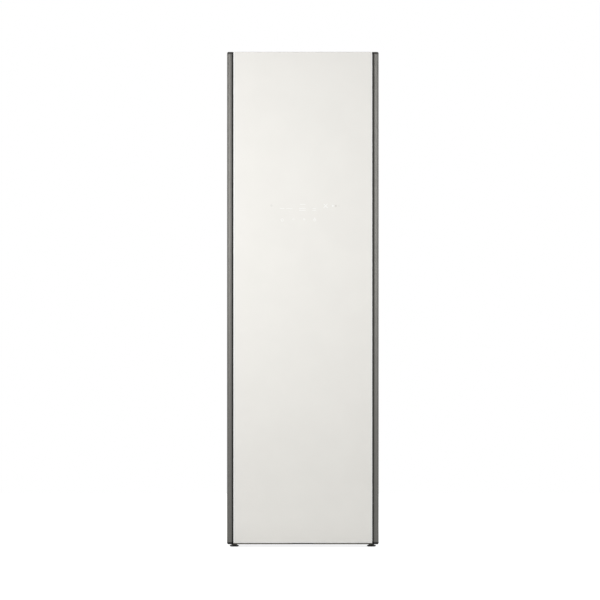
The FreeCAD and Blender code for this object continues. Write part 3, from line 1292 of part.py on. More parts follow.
def press_latch():
    """Shaft through the board with a tongue behind it and a lever in front of it."""
    x = latch_x()
    z = latch_z()
    y0 = PRESS_AXIS_Y - PRESS_THICKNESS / 2 - LATCH_PLAY
    y1 = PRESS_AXIS_Y + PRESS_THICKNESS / 2 + LATCH_PLAY
    shaft = post_y(LATCH_SHAFT, x, z, y0 - LATCH_TONGUE_THICKNESS, y1 + LATCH_KNOB_HEIGHT / 2)
    tongue = rounded_box(x - LATCH_HALF_WIDTH, x + LATCH_HALF_WIDTH, y0 - LATCH_TONGUE_THICKNESS, y0,
                         z - LATCH_HALF_WIDTH, z + LATCH_TONGUE, LATCH_HALF_WIDTH - 0.5, 1)
    hub = post_y(LATCH_HALF_WIDTH + 4.0, x, z, y1, y1 + LATCH_KNOB_HEIGHT)
    lever = rounded_box(x - LATCH_HALF_WIDTH, x + LATCH_HALF_WIDTH, y1 + 3.0, y1 + LATCH_KNOB_HEIGHT,
                        z - LATCH_LEVER, z, LATCH_HALF_WIDTH - 0.5, 1)
    return fuse([shaft, tongue, hub, lever])


# ---------------------------------------------------------------- air circuit
def duct_housing():
    shell = centred_box(DUCT_HALF, BAY_REAR, DUCT_BACK, DUCT_BOTTOM, FLOOR_UNDER)
    room = centred_box(DUCT_HALF - DUCT_WALL, BAY_REAR + DUCT_WALL, DUCT_BACK - DUCT_WALL, DUCT_FLOOR,
                       FLOOR_UNDER + 1.0)
    air = centred_box(RETURN_HALF, BAY_REAR - 1.0, BAY_REAR + DUCT_WALL + 1.0, BAY_FLOOR + RETURN_LOW,
                      BAY_FLOOR + RETURN_HIGH)
    stub = post(SOCKET_RADIUS, DRAIN_STUB_X, PUMP_Y, DUCT_BOTTOM - SOCKET_LENGTH, DUCT_BOTTOM)
    drain = post(SOCKET_RADIUS - 2.5, DRAIN_STUB_X, PUMP_Y, DUCT_BOTTOM - SOCKET_LENGTH - 1.0,
                 DUCT_FLOOR + 1.0)
    pipes = [post_x(PIPE_RADIUS + PIPE_HOLE_CLEARANCE, y, z, DUCT_HALF - 5.0, DUCT_HALF + 5.0)
             for y, z in (hot_port(), cold_port())]
    return cut(shell.fuse(stub), [room, air, drain] + pipes)


def hot_port():
    return (CONDENSER_Y + COIL_DEPTH / 2, DUCT_FLOOR + COIL_HEIGHT - HOT_PIPE_DROP)


def cold_port():
    return (EVAPORATOR_Y + COIL_DEPTH / 2, DUCT_FLOOR + COLD_PIPE_RISE)


def coil(front):
    """Finned coil: a row of fins between two end plates, with tubes running through."""
    back = front + COIL_DEPTH
    top = DUCT_FLOOR + COIL_HEIGHT
    count = int(2 * COIL_HALF // COIL_FIN_PITCH)
    step = (2 * COIL_HALF - COIL_FIN) / count
    fins = [box(-COIL_HALF + i * step, -COIL_HALF + i * step + COIL_FIN, front, back, DUCT_FLOOR, top)
            for i in range(count + 1)]
    rows = int((COIL_HEIGHT - COIL_TUBE_PITCH / 2) // COIL_TUBE_PITCH)
    tubes = []
    for i in range(rows):
        z = DUCT_FLOOR + COIL_TUBE_PITCH * (i + 0.75)
        tubes.append(post_x(COIL_TUBE, (front + back) / 2, z, -COIL_HALF, COIL_HALF))
    return fuse(tubes + fins)


def blower_motor():
    can = post(BLOWER_MOTOR_RADIUS, 0, BLOWER_Y, DUCT_FLOOR, DUCT_FLOOR + BLOWER_MOTOR_HEIGHT)
    shaft = post(BLOWER_SHAFT, 0, BLOWER_Y, DUCT_FLOOR + BLOWER_MOTOR_HEIGHT,
                 impeller_low() + IMPELLER_PLATE + IMPELLER_VANE_HEIGHT / 2)
    return can.fuse(shaft)


def blower_low():
    return DUCT_FLOOR + BLOWER_MOTOR_HEIGHT + 2.0


def impeller_low():
    return blower_low() + BLOWER_WALL + IMPELLER_GAP


def blower_housing():
    low = blower_low()
    high = low + BLOWER_HEIGHT
    shell = post(BLOWER_RADIUS, 0, BLOWER_Y, low, high)
    room = post(BLOWER_RADIUS - BLOWER_WALL, 0, BLOWER_Y, low + BLOWER_WALL, high - BLOWER_WALL)
    eye = post(BLOWER_EYE, 0, BLOWER_Y, high - 2 * BLOWER_WALL, high + 1.0)
    shaft = post(BLOWER_SHAFT + 4.0, 0, BLOWER_Y, low - 1.0, low + 2 * BLOWER_WALL)
    window_half = BLOWER_RADIUS - BLOWER_WINDOW_SIDE
    window = centred_box(window_half, BLOWER_Y - BLOWER_RADIUS - 1.0, BLOWER_Y - BLOWER_EYE,
                         low + 3 * BLOWER_WALL, high - 3 * BLOWER_WALL)
    shell = cut(shell, [room, eye, shaft, window])
    posts = []
    for i in range(4):
        angle = math.radians(45 + 90 * i)
        reach = BLOWER_RADIUS - 2 * BLOWER_POST
        posts.append(post(BLOWER_POST, reach * math.cos(angle), BLOWER_Y + reach * math.sin(angle),
                          DUCT_FLOOR, low))
    return fuse([shell] + posts)


def blower_impeller():
    low = impeller_low()
    base_top = low + IMPELLER_PLATE
    vane_top = base_top + IMPELLER_VANE_HEIGHT
    base = post(IMPELLER_RADIUS, 0, BLOWER_Y, low, base_top)
    hub = post(IMPELLER_HUB, 0, BLOWER_Y, low, vane_top)
    ring = post(IMPELLER_RADIUS, 0, BLOWER_Y, vane_top - IMPELLER_PLATE, vane_top)
    ring = ring.cut(post(IMPELLER_VANE_INNER + BLOWER_EYE_STEP, 0, BLOWER_Y, low, vane_top + 1.0))
    pieces = [base, hub, ring]
    for i in range(IMPELLER_VANES):
        vane = box(IMPELLER_VANE_INNER, IMPELLER_RADIUS - 1.0, -IMPELLER_VANE_THICKNESS / 2,
                   IMPELLER_VANE_THICKNESS / 2, base_top - 1.0, vane_top - 1.0)
        vane.rotate(point(IMPELLER_VANE_INNER, 0, 0), point(0, 0, 1), 35)
        vane.rotate(point(0, 0, 0), point(0, 0, 1), 360 * i / IMPELLER_VANES)
        vane.translate(point(0, BLOWER_Y, 0))
        pieces.append(vane.common(post(IMPELLER_RADIUS, 0, BLOWER_Y, low, vane_top)))
    bore = post(BLOWER_SHAFT + RUNNING_CLEARANCE, 0, BLOWER_Y, low - 1.0,
                base_top + IMPELLER_VANE_HEIGHT / 2 + 0.3)
    return fuse(pieces).cut(bore)


# ---------------------------------------------------------------- heat pump and water circuit
def compressor():
    """Welded can on a base plate, with its three rubber grommets as further solids."""
    plate_z = PAN_TOP + GROMMET_HEIGHT - COMPRESSOR_BASE
    low = plate_z + COMPRESSOR_BASE
    can = post(COMPRESSOR_RADIUS, COMPRESSOR_X, COMPRESSOR_Y, low, low + COMPRESSOR_HEIGHT)
    rim = [e for e in can.Edges if len(e.Vertexes) == 1 and e.CenterOfMass.z > low + 1.0]
    can = can.makeFillet(COMPRESSOR_DOME, rim)
    top = low + COMPRESSOR_HEIGHT
    outlet = post(PIPE_RADIUS + 2.0, COMPRESSOR_X, COMPRESSOR_Y, top - 2.0, top + SUCTION_STUB)
    suction = post_y(PIPE_RADIUS + 2.0, SUCTION_X, SUCTION_Z, suction_end_y(), COMPRESSOR_Y)
    plate = post(COMPRESSOR_RADIUS - 2.0, COMPRESSOR_X, COMPRESSOR_Y, plate_z, low)
    arms = []
    grommets = []
    for i in range(3):
        angle = math.radians(90 + 120 * i)
        x = COMPRESSOR_X + (COMPRESSOR_RADIUS + 6.0) * math.cos(angle)
        y = COMPRESSOR_Y + (COMPRESSOR_RADIUS + 6.0) * math.sin(angle)
        arms.append(post(GROMMET_RADIUS, x, y, plate_z, low).cut(
            post(GROMMET_BORE + 2.0, x, y, plate_z - 1.0, low + 1.0)))
        rubber = post(GROMMET_RADIUS, x, y, PAN_TOP, plate_z)
        grommets.append(rubber.cut(post(GROMMET_BORE, x, y, PAN_TOP, plate_z)))
    body = fuse([can, outlet, suction, plate] + arms)
    return Part.makeCompound([body] + grommets)


def suction_end_y():
    return COMPRESSOR_Y - COMPRESSOR_RADIUS - SUCTION_STUB


def refrigerant_pipes():
    hot_y, hot_z = hot_port()
    cold_y, cold_z = cold_port()
    top = PAN_TOP + GROMMET_HEIGHT + COMPRESSOR_HEIGHT + SUCTION_STUB
    hot = [point(COMPRESSOR_X, COMPRESSOR_Y, top), point(COMPRESSOR_X, COMPRESSOR_Y, hot_z),
           point(COMPRESSOR_X, hot_y, hot_z), point(COIL_HALF, hot_y, hot_z)]
    cold = [point(COIL_HALF, cold_y, cold_z), point(SUCTION_X, cold_y, cold_z),
            point(SUCTION_X, cold_y, SUCTION_Z), point(SUCTION_X, suction_end_y(), SUCTION_Z)]
    loop_x = -COIL_HALF - 3 * PIPE_RADIUS
    link = [point(-COIL_HALF, hot_y, cold_z), point(loop_x, hot_y, cold_z),
            point(loop_x, cold_y, cold_z), point(-COIL_HALF, cold_y, cold_z)]
    return Part.makeCompound([tube(hot, PIPE_RADIUS, PIPE_BORE, 5 * PIPE_RADIUS),
                              tube(cold, PIPE_RADIUS, PIPE_BORE, 5 * PIPE_RADIUS),
                              tube(link, PIPE_RADIUS, PIPE_BORE, 2.5 * PIPE_RADIUS)])


def pump(sign):
    """Water pump, built for +X: its top port takes the inlet, its side port points to the outlet."""
    low = PAN_TOP + PUMP_BASE
    top = low + PUMP_HEIGHT
    body = post(PUMP_RADIUS, SOCKET_X, PUMP_Y, low, top)
    plate = box(SOCKET_X - PUMP_RADIUS - 6.0, SOCKET_X + PUMP_RADIUS + 6.0, PUMP_Y - PUMP_RADIUS,
                PUMP_Y + PUMP_RADIUS, PAN_TOP, low)
    inlet = post(SOCKET_RADIUS, SOCKET_X, PUMP_Y, top, top + SOCKET_LENGTH)
    reach = PUMP_RADIUS + SOCKET_LENGTH
    y0, y1 = (PUMP_Y - reach, PUMP_Y) if sign > 0 else (PUMP_Y, PUMP_Y + reach)
    outlet = post_y(SOCKET_RADIUS, SOCKET_X, PUMP_OUTLET_Z, y0, y1)
    return side(fuse([body, plate, inlet, outlet]), sign)


def water_pumps():
    return Part.makeCompound([pump(-1), pump(1)])


def steam_generator():
    low = PAN_TOP + BOILER_LEG
    high = low + BOILER_HEIGHT
    half = BOILER_WIDTH / 2
    body = rounded_box(-SOCKET_X - half, -SOCKET_X + half, BOILER_FRONT, BOILER_BACK, low, high,
                       BOILER_CORNER)
    legs = []
    for x in (-SOCKET_X - half + 16.0, -SOCKET_X + half - 16.0):
        for y in (BOILER_FRONT + 16.0, BOILER_BACK - 16.0):
            legs.append(post(6.0, x, y, PAN_TOP, low))
    outlet = post(SOCKET_RADIUS, -SOCKET_X, NOZZLE_Y, high, high + SOCKET_LENGTH)
    band = rounded_box(-SOCKET_X - half - 2.0, -SOCKET_X + half + 2.0, BOILER_FRONT - 2.0,
                       BOILER_BACK + 2.0, high - 30.0, high - 20.0, BOILER_CORNER + 2.0)
    return fuse([body, outlet, band] + legs)


def steam_nozzle():
    top = CHAMBER_FLOOR + GRILLE_RISE
    stem = post(NOZZLE_RADIUS, -SOCKET_X, NOZZLE_Y, FLOOR_UNDER - SOCKET_LENGTH, top)
    flange = post(NOZZLE_FLANGE, -SOCKET_X, NOZZLE_Y, CHAMBER_FLOOR, top)
    return stem.fuse(flange).cut(post(HOSE_BORE, -SOCKET_X, NOZZLE_Y, FLOOR_UNDER - SOCKET_LENGTH, top))


def steam_and_water_hoses():
    """Supply hose, feed hose, steam hose with its nozzle, drain hose and lift hose."""
    bend = 2.8 * HOSE_RADIUS
    socket_y = BAY_REAR + SOCKET_LENGTH
    socket_z = BAY_FLOOR + SOCKET_RISE
    pump_top = PAN_TOP + PUMP_BASE + PUMP_HEIGHT + SOCKET_LENGTH
    reach = PUMP_RADIUS + SOCKET_LENGTH
    steam_low = PAN_TOP + BOILER_LEG + BOILER_HEIGHT + SOCKET_LENGTH
    crossing_z = DUCT_BOTTOM - SOCKET_LENGTH - DRAIN_DROP
    supply = [point(-SOCKET_X, socket_y, socket_z), point(-SOCKET_X, PUMP_Y, socket_z),
              point(-SOCKET_X, PUMP_Y, pump_top)]
    feed = [point(-SOCKET_X, PUMP_Y + reach, PUMP_OUTLET_Z), point(-SOCKET_X, BOILER_FRONT, PUMP_OUTLET_Z)]
    steam = [point(-SOCKET_X, NOZZLE_Y, steam_low), point(-SOCKET_X, NOZZLE_Y, FLOOR_UNDER - SOCKET_LENGTH)]
    drain = [point(DRAIN_STUB_X, PUMP_Y, DUCT_BOTTOM - SOCKET_LENGTH),
             point(DRAIN_STUB_X, PUMP_Y, crossing_z), point(SOCKET_X, PUMP_Y, crossing_z),
             point(SOCKET_X, PUMP_Y, pump_top)]
    lift_y = PUMP_Y - reach - 1.4 * bend
    lift = [point(SOCKET_X, PUMP_Y - reach, PUMP_OUTLET_Z), point(SOCKET_X, lift_y, PUMP_OUTLET_Z),
            point(SOCKET_X, lift_y, socket_z), point(SOCKET_X, socket_y, socket_z)]
    hoses = [tube(route, HOSE_RADIUS, HOSE_BORE, bend) for route in (supply, feed, steam, drain)]
    hoses.append(tube(lift, HOSE_RADIUS, HOSE_BORE, 0.9 * bend / 1.4))
    return Part.makeCompound(hoses + [steam_nozzle()])


# ---------------------------------------------------------------- electronics
def control_box():
    x0 = CONTROL_X - CONTROL_WIDTH / 2
    x1 = CONTROL_X + CONTROL_WIDTH / 2
    y0 = CONTROL_Y - CONTROL_DEPTH / 2
    y1 = CONTROL_Y + CONTROL_DEPTH / 2
    wall = CONTROL_WALL
    tray = rounded_box(x0, x1, y0, y1, CEILING_TOP, CEILING_TOP + CONTROL_HEIGHT, 4.0)
    tray = tray.cut(box(x0 + wall, x1 - wall, y0 + wall, y1 - wall, CEILING_TOP + wall,
                        CEILING_TOP + CONTROL_HEIGHT - wall))
    slots = [box(x1 - 2 * wall, x1 + 1.0, y0 + 20.0 + i * 12.0, y0 + 26.0 + i * 12.0,
                 CEILING_TOP + 2 * wall, CEILING_TOP + CONTROL_HEIGHT - 3 * wall) for i in range(8)]
    posts = [post(4.0, x, y, CEILING_TOP + wall, CEILING_TOP + wall + BOARD_STANDOFF)
             for x in (x0 + 14.0, x1 - 14.0) for y in (y0 + 14.0, y1 - 14.0)]
    return fuse([cut(tray, slots)] + posts)


def control_board():
    z0 = CEILING_TOP + CONTROL_WALL + BOARD_STANDOFF
    z1 = z0 + BOARD_THICKNESS
    margin = CONTROL_WALL + BOARD_MARGIN
    x0 = CONTROL_X - CONTROL_WIDTH / 2 + margin
    y0 = CONTROL_Y - CONTROL_DEPTH / 2 + margin
    board = box(x0, x0 + CONTROL_WIDTH - 2 * margin, y0, y0 + CONTROL_DEPTH - 2 * margin, z0, z1)
    row = y0 + RELAY_ROW_Y
    relay = box(x0 + RELAY_X, x0 + RELAY_X + RELAY_LENGTH, row, row + RELAY_DEPTH, z1, z1 + RELAY_HEIGHT)
    choke = box(x0 + CHOKE_X, x0 + CHOKE_X + CHOKE_LENGTH, row, row + CHOKE_DEPTH, z1, z1 + CHOKE_HEIGHT)
    can = post(CAPACITOR_RADIUS, x0 + CAPACITOR_X, y0 + CAPACITOR_Y, z1, z1 + CAPACITOR_HEIGHT)
    chip = box(x0 + CHIP_X, x0 + CHIP_X + CHIP_SIZE, y0 + CHIP_Y, y0 + CHIP_Y + CHIP_SIZE, z1,
               z1 + CHIP_HEIGHT)
    return fuse([board, relay, choke, can, chip])


def cable_gland():
    rear = CASE_BACK + GLAND_FLANGE_HEIGHT
    flange = post_y(GLAND_FLANGE, GLAND_X, GLAND_Z, CASE_BACK, rear)
    neck = post_y(GLAND_RADIUS, GLAND_X, GLAND_Z, rear - GLAND_LENGTH, rear)
    bore = post_y(GLAND_BORE, GLAND_X, GLAND_Z, rear - GLAND_LENGTH - 1.0, rear + 1.0)
    nut = post_y(GLAND_FLANGE - 2.0, GLAND_X, GLAND_Z, CASE_BACK - SHEET - 5.0, CASE_BACK - SHEET)
    return fuse([flange, neck, nut]).cut(bore)


# ---------------------------------------------------------------- all nodes
def build():
    os.makedirs("parts", exist_ok=True)
    nodes = {
        "door_glass": door_glass(),
        "door_side_trim_left": cut_hinge_notches(side_trim(-1, True)),
        "door_side_trim_right": cut_hinge_notches(side_trim(1, False)),
        "door_top_cap": door_top_cap(),
        "door_bottom_cap": door_bottom_cap(),
        "hinge_bushes": hinge_bushes(),
        "touch_board": touch_board(),
        "door_insulation": door_insulation(),
        "door_inner_liner": door_inner_liner(),
        "door_gasket": door_gasket(),
        "top_hinge_bracket": top_hinge_bracket(),
        "bottom_hinge_bracket": bottom_hinge_bracket(),
        "side_panel_left": side_panel(-1),
        "side_panel_right": side_panel(1),
        "top_cover": top_cover(),
        "rear_cover": rear_cover(),
        "rear_spacers": rear_spacers(),
        "base_pan": base_pan(),
        "front_frame": front_frame(),
        "rear_feet": rear_feet(),
        "levelling_foot_left": foot(-FOOT_X, FOOT_FRONT_Y, FOOT_HEIGHT),
        "levelling_foot_right": foot(FOOT_X, FOOT_FRONT_Y, FOOT_HEIGHT),
        "case_screws": case_screws(),
        "liner_left": liner_side(-1),
        "liner_right": liner_side(1),
        "liner_back": liner_back(),
        "liner_ceiling": liner_ceiling(),
        "lamp_lens": lamp_lens(),
        "chamber_floor": chamber_floor(),
        "air_outlet_grille": air_outlet_grille(),
        "tank_bay": tank_bay(),
        "lint_filter": lint_filter(),
        "aroma_kit": aroma_kit(),
        "supply_tank": tank(-1),
        "drain_tank": tank(1),
        "supply_tank_handle": tank_handle(-1),
        "drain_tank_handle": tank_handle(1),
        "garment_shelf": garment_shelf(),
        "rod_guides": rod_guides(),
        "hanger_rod": hanger_rod(),
        "shaker_crank": shaker_crank(),
        "shaker_bracket": shaker_bracket(),
        "shaker_motor": shaker_motor(),
        "press_plate": press_plate(),
        "press_pads": press_pads(),
        "press_latch": press_latch(),
        "duct_housing": duct_housing(),
        "evaporator": coil(EVAPORATOR_Y),
        "condenser": coil(CONDENSER_Y),
        "blower_motor": blower_motor(),
        "blower_housing": blower_housing(),
        "blower_impeller": blower_impeller(),
        "compressor": compressor(),
        "refrigerant_pipes": refrigerant_pipes(),
        "water_pumps": water_pumps(),
        "steam_generator": steam_generator(),
        "steam_and_water_hoses": steam_and_water_hoses(),
        "control_box": control_box(),
        "control_board": control_board(),
        "cable_gland": cable_gland(),
    }
    for name, shape in nodes.items():
        save(name, shape)
        print(name, len(shape.Solids), "solids", round(shape.Volume), "mm3")


build()
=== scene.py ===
# %% [markdown]
# # A clothes care steam cabinet
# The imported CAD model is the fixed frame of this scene: it gives each solid its place and joint.
# Blender adds what the eye looks for: polish, grain, seams, padding, light and a camera.
# Sizes in the cells are in millimetres, and MM turns them into Blender's metres.

# %% Load the frame
import math

import bpy
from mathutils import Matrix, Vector


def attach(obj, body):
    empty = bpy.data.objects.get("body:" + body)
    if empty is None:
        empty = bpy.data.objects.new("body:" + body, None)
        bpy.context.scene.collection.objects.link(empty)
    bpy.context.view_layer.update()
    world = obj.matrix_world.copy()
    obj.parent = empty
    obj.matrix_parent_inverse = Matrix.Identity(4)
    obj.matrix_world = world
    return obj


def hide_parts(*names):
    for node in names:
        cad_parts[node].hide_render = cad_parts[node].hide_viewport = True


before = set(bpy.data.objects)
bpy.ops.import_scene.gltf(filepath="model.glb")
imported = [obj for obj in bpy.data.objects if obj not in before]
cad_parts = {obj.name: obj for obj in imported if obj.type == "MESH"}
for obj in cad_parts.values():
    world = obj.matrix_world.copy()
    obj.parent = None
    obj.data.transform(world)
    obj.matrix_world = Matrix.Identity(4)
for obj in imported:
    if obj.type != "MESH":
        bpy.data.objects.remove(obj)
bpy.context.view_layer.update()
MM = 0.001
print("nodes in the frame:", len(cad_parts))

# %% [markdown]
# ## Short tools for modelling
# A mesh could be written as lists of points, but operators show the steps that a modeller takes.
# They act on what is selected, and loading leaves every CAD node selected. So each tool deselects
# all, then selects one piece and the faces, edges or points that it needs.


# %% Select and start pieces
def deselect():
    if bpy.context.mode != "OBJECT":
        bpy.ops.object.mode_set(mode="OBJECT")
    bpy.ops.object.select_all(action="DESELECT")


def only(piece):
    deselect()
    piece.select_set(True)
    bpy.context.view_layer.objects.active = piece
    return piece


def name_new(name, *size):
    """Names the piece that was just added, sizes it, and writes its place into its mesh."""
    piece = bpy.context.object
    piece.name = name
    piece.data.name = name
    if size:
        piece.scale = [length * MM for length in size]
    bpy.ops.object.transform_apply()
    return piece


def block(name, x0, x1, y0, y1, z0, z1):
    """A box from its lowest to its highest corner, as the start of a piece."""
    deselect()
    middle = [(x0 + x1) / 2 * MM, (y0 + y1) / 2 * MM, (z0 + z1) / 2 * MM]
    bpy.ops.mesh.primitive_cube_add(size=1, location=middle)
    return name_new(name, x1 - x0, y1 - y0, z1 - z0)


def upright_sheet(name, x0, x1, y, z0, z1, columns=1, rows=1):
    """A flat grid that faces the front, as the start of a pad, a cord or a mesh."""
    deselect()
    middle = [(x0 + x1) / 2 * MM, y * MM, (z0 + z1) / 2 * MM]
    bpy.ops.mesh.primitive_grid_add(size=1, x_subdivisions=columns, y_subdivisions=rows,
                                    location=middle, rotation=(math.radians(90), 0, 0))
    return name_new(name, x1 - x0, z1 - z0, 1)


print("sizes are multiplied by", MM)


# %% Pick parts of a piece
X, Y, Z = 0, 1, 2
NEARLY = 0.9  # how much of a direction has to lie along an axis to count as along it


def middle_and_way(mesh, edge):
    a, b = (mesh.vertices[i].co for i in edge.vertices)
    return (a + b) / 2 / MM, (b - a).normalized()


def edit_all(piece):
    """Opens edit mode with the whole mesh selected."""
    only(piece)
    bpy.ops.object.mode_set(mode="EDIT")
    bpy.ops.mesh.select_all(action="SELECT")


def pick(piece, test, kind="FACE"):
    """Opens edit mode with only those faces, edges or points selected that pass the test. It gets
    the middle in millimetres, and the normal of a face or point, or the way an edge runs."""
    only(piece)
    mesh = piece.data
    bpy.ops.object.mode_set(mode="EDIT")
    bpy.ops.mesh.select_mode(type=kind)
    bpy.ops.mesh.select_all(action="DESELECT")
    bpy.ops.object.mode_set(mode="OBJECT")
    if kind == "VERT":
        found = [point for point in mesh.vertices if test(point.co / MM, point.normal)]
    elif kind == "EDGE":
        found = [edge for edge in mesh.edges if test(*middle_and_way(mesh, edge))]
    else:
        found = [face for face in mesh.polygons if test(face.center / MM, face.normal)]
    if not found:
        raise ValueError(f"{piece.name}: nothing passes the test")
    for part in found:
        part.select = True
    bpy.ops.object.mode_set(mode="EDIT")


def pick_rims(piece):
    """Opens edit mode with those edges selected that end a surface."""
    edit_all(piece)
    bpy.ops.mesh.select_mode(type="EDGE")
    bpy.ops.mesh.select_all(action="DESELECT")
    bpy.ops.mesh.select_non_manifold()


def along(axis, where=lambda p: True):
    """A test for edges that run along an axis, either way, at certain places."""
    return lambda p, d: abs(d[axis]) > NEARLY and where(p)


def done(piece):
    bpy.ops.object.mode_set(mode="OBJECT")
    return piece


print("along an axis: above", NEARLY)


# %% Shape faces and edges
def bevel(piece, test, width, steps=3):
    """Rounds the edges that pass the test."""
    pick(piece, test, "EDGE")
    bpy.ops.mesh.bevel(offset=width * MM, segments=steps, profile=0.5, affect="EDGES")
    return done(piece)


def push(piece, test, x, y, z):
    """Moves the points that pass the test."""
    pick(piece, test, "VERT")
    bpy.ops.transform.translate(value=(x * MM, y * MM, z * MM))
    return done(piece)


def press_in(piece, test, margin, depth):
    """Insets the faces that pass the test by a margin, and presses them in."""
    pick(piece, test)
    bpy.ops.mesh.inset(thickness=margin * MM, depth=-depth * MM)
    return done(piece)


def slice_at(piece, axis, places):
    """Cuts a line of edges round the piece at each place along an axis."""
    normal = [float(way == axis) for way in (X, Y, Z)]
    for place in places:
        edit_all(piece)
        bpy.ops.mesh.bisect(plane_co=[n * place * MM for n in normal], plane_no=normal)
    return done(piece)


def draw_out(x, y, z):
    """Extrudes what is selected."""
    way = {"value": (x * MM, y * MM, z * MM)}
    bpy.ops.mesh.extrude_region_move(TRANSFORM_OT_translate=way)


def face_outwards(piece):
    edit_all(piece)
    bpy.ops.mesh.remove_doubles(threshold=0.01 * MM)
    bpy.ops.mesh.normals_make_consistent(inside=False)
    return done(piece)


print("shaping: bevel, push, press_in, slice_at")


# %% Modifiers that are applied at once
def modify(piece, kind, **settings):
    only(piece)
    tool = piece.modifiers.new(kind.lower(), kind)
    for setting, value in settings.items():
        setattr(tool, setting, value)
    bpy.ops.object.modifier_apply(modifier=tool.name)
    return piece


def smooth(piece, angle=40):
    """Shades as one round surface what bends by less than the angle."""
    only(piece)
    bpy.ops.object.shade_smooth_by_angle(angle=math.radians(angle))
    return piece


def soften(piece, width, steps=2, angle=35):
    """Rounds all sharp edges a little, and shades the rest smooth."""
    modify(piece, "BEVEL", width=width * MM, segments=steps, limit_method="ANGLE",
           angle_limit=math.radians(angle))
    return smooth(piece, angle + 10)


def delete(piece):
    only(piece)
    bpy.ops.object.delete()


def carve(piece, cutter, way="DIFFERENCE"):
    """Cuts a piece with another one, or adds it where the way is UNION. The cutter is used up."""
    modify(piece, "BOOLEAN", operation=way, solver="EXACT", object=cutter)
    delete(cutter)
    return only(piece)


print("finishing: soften, smooth, carve")


# %% Copy, turn and join
def copy_of(piece, x=0, y=0, z=0):
    """A copy with its own mesh, moved from the first one."""
    only(piece)
    bpy.ops.object.duplicate()
    bpy.ops.transform.translate(value=(x * MM, y * MM, z * MM))
    return name_new(piece.name + "_copy")


def turn(piece, angle, axis, x=0, y=0, z=0):
    """Turns a piece by an angle in degrees about an axis through a point."""
    only(piece)
    bpy.ops.transform.rotate(value=math.radians(angle), orient_axis=axis,
                             center_override=(x * MM, y * MM, z * MM))
    bpy.ops.object.transform_apply()
    return piece


def join(name, pieces):
    only(pieces[0])
    for piece in pieces:
        piece.select_set(True)
    bpy.ops.object.join()
    return name_new(name)


def side_span(sign, inner, outer):
    """The lower and the higher end of a span beside the middle, on the left where sign is -1."""
    return sorted((sign * inner, sign * outer))


print("a span on the left:", side_span(-1, 10, 20))


# %% Round pieces
def turned(name, x, y, outline, sides=48):
    """A round piece on an upright axis, drawn up from a disc through (radius, height) pairs."""
    radius, height = outline[0]
    deselect()
    bpy.ops.mesh.primitive_circle_add(vertices=sides, radius=radius * MM, fill_type="NGON",
                                      location=(x * MM, y * MM, height * MM))
    piece = name_new(name)
    edit_all(piece)
    for next_radius, next_height in outline[1:]:
        draw_out(0, 0, next_height - height)
        share = next_radius / radius
        bpy.ops.transform.resize(value=(share, share, 1),
                                 center_override=(x * MM, y * MM, next_height * MM))
        radius, height = next_radius, next_height
    done(piece)
    return face_outwards(piece)


def every_other(x, y, degrees):
    """A test for half of the upright faces round an axis, in turns of so many degrees."""
    def test(p, n):
        angle = math.degrees(math.atan2(p.y - y, p.x - x)) % degrees
        return abs(n.z) < 0.2 and angle < degrees / 2

    return test


print("round pieces: turned")


# %% Rings with a section
def moulded_ring(name, x0, x1, low, high, y, side, corner, wall, steps, *top):
    """A rectangular ring on a surface at y, which stands off it towards +Y, or -Y where side is -1.
    Steps go (width inwards, rise) from the outer wall to the top, and come back mirrored."""
    piece = block(name, x0, x1, *sorted((y, y + side * wall)), low, high)
    bevel(piece, along(Y), corner, 6)
    pick(piece, lambda p, n: n.y * side > NEARLY)
    for width, rise in [*steps, *top, *((width, -rise) for width, rise in reversed(steps))]:
        bpy.ops.mesh.inset(thickness=width * MM, depth=rise * MM)
    bpy.ops.mesh.delete(type="FACE")
    pick(piece, lambda p, n: n.y * side < -NEARLY)
    bpy.ops.mesh.delete(type="ONLY_FACE")
    pick_rims(piece)
    bpy.ops.mesh.bridge_edge_loops()
    done(piece)
    return smooth(face_outwards(piece))


print("rings: moulded_ring")

# %% [markdown]
# ## Effects that several finishes share
# Grain, wear and dust could come from scans, but those need files and a flat layout of each piece.
# Node groups compute them from the place in the object, at any size. A group gives out only values
# and normals that change over the surface. The shader stays in each material, where its plain
# numbers can be read and changed.

# %% Nodes and groups
NODE_COLUMN, NODE_ROW = 220, -240
NODES_IN_ROW = 9
effects = {}


def send(tree, target, inputs=None, **more):
    """Fills inputs of a node. Each is a number, a colour or another node's output."""
    words = {label.replace("_", " "): value for label, value in more.items()}
    for key, value in {**(inputs or {}), **words}.items():
        if isinstance(value, bpy.types.NodeSocket):
            tree.links.new(value, target.inputs[key])
        else:
            target.inputs[key].default_value = value


def node(tree, kind, inputs=None, **settings):
    made = tree.nodes.new("ShaderNode" + kind)
    for name, value in settings.items():
        setattr(made, name, value)
    send(tree, made, inputs)
    row, column = divmod(len(tree.nodes), NODES_IN_ROW)
    made.location = (NODE_COLUMN * column, NODE_ROW * row)
    return made


def effect(name, input_name, value, **outputs):
    """An empty node group with one number coming in. Its outputs are a Vector or Float each."""
    tree = effects[name] = bpy.data.node_groups.new(name, "ShaderNodeTree")
    add = tree.interface.new_socket
    add(name=input_name, in_out="INPUT", socket_type="NodeSocketFloat").default_value = value
    for label, kind in outputs.items():
        add(name=label, in_out="OUTPUT", socket_type="NodeSocket" + kind)
    start = tree.nodes.new("NodeGroupInput")
    return tree, start.outputs[input_name], tree.nodes.new("NodeGroupOutput")


print("nodes in a row:", NODES_IN_ROW)


# %% Sums, spans, places and noise
def math_node(tree, operation, a, b=0.0, clamp=False):
    return node(tree, "Math", {0: a, 1: b}, operation=operation, use_clamp=clamp).outputs[0]


def spread(tree, value, low, high, to_low=0.0, to_high=1.0):
    """Maps a value from one span to another, and holds it there."""
    return node(tree, "MapRange", {0: value, 1: low, 2: high, 3: to_low, 4: to_high}).outputs[0]


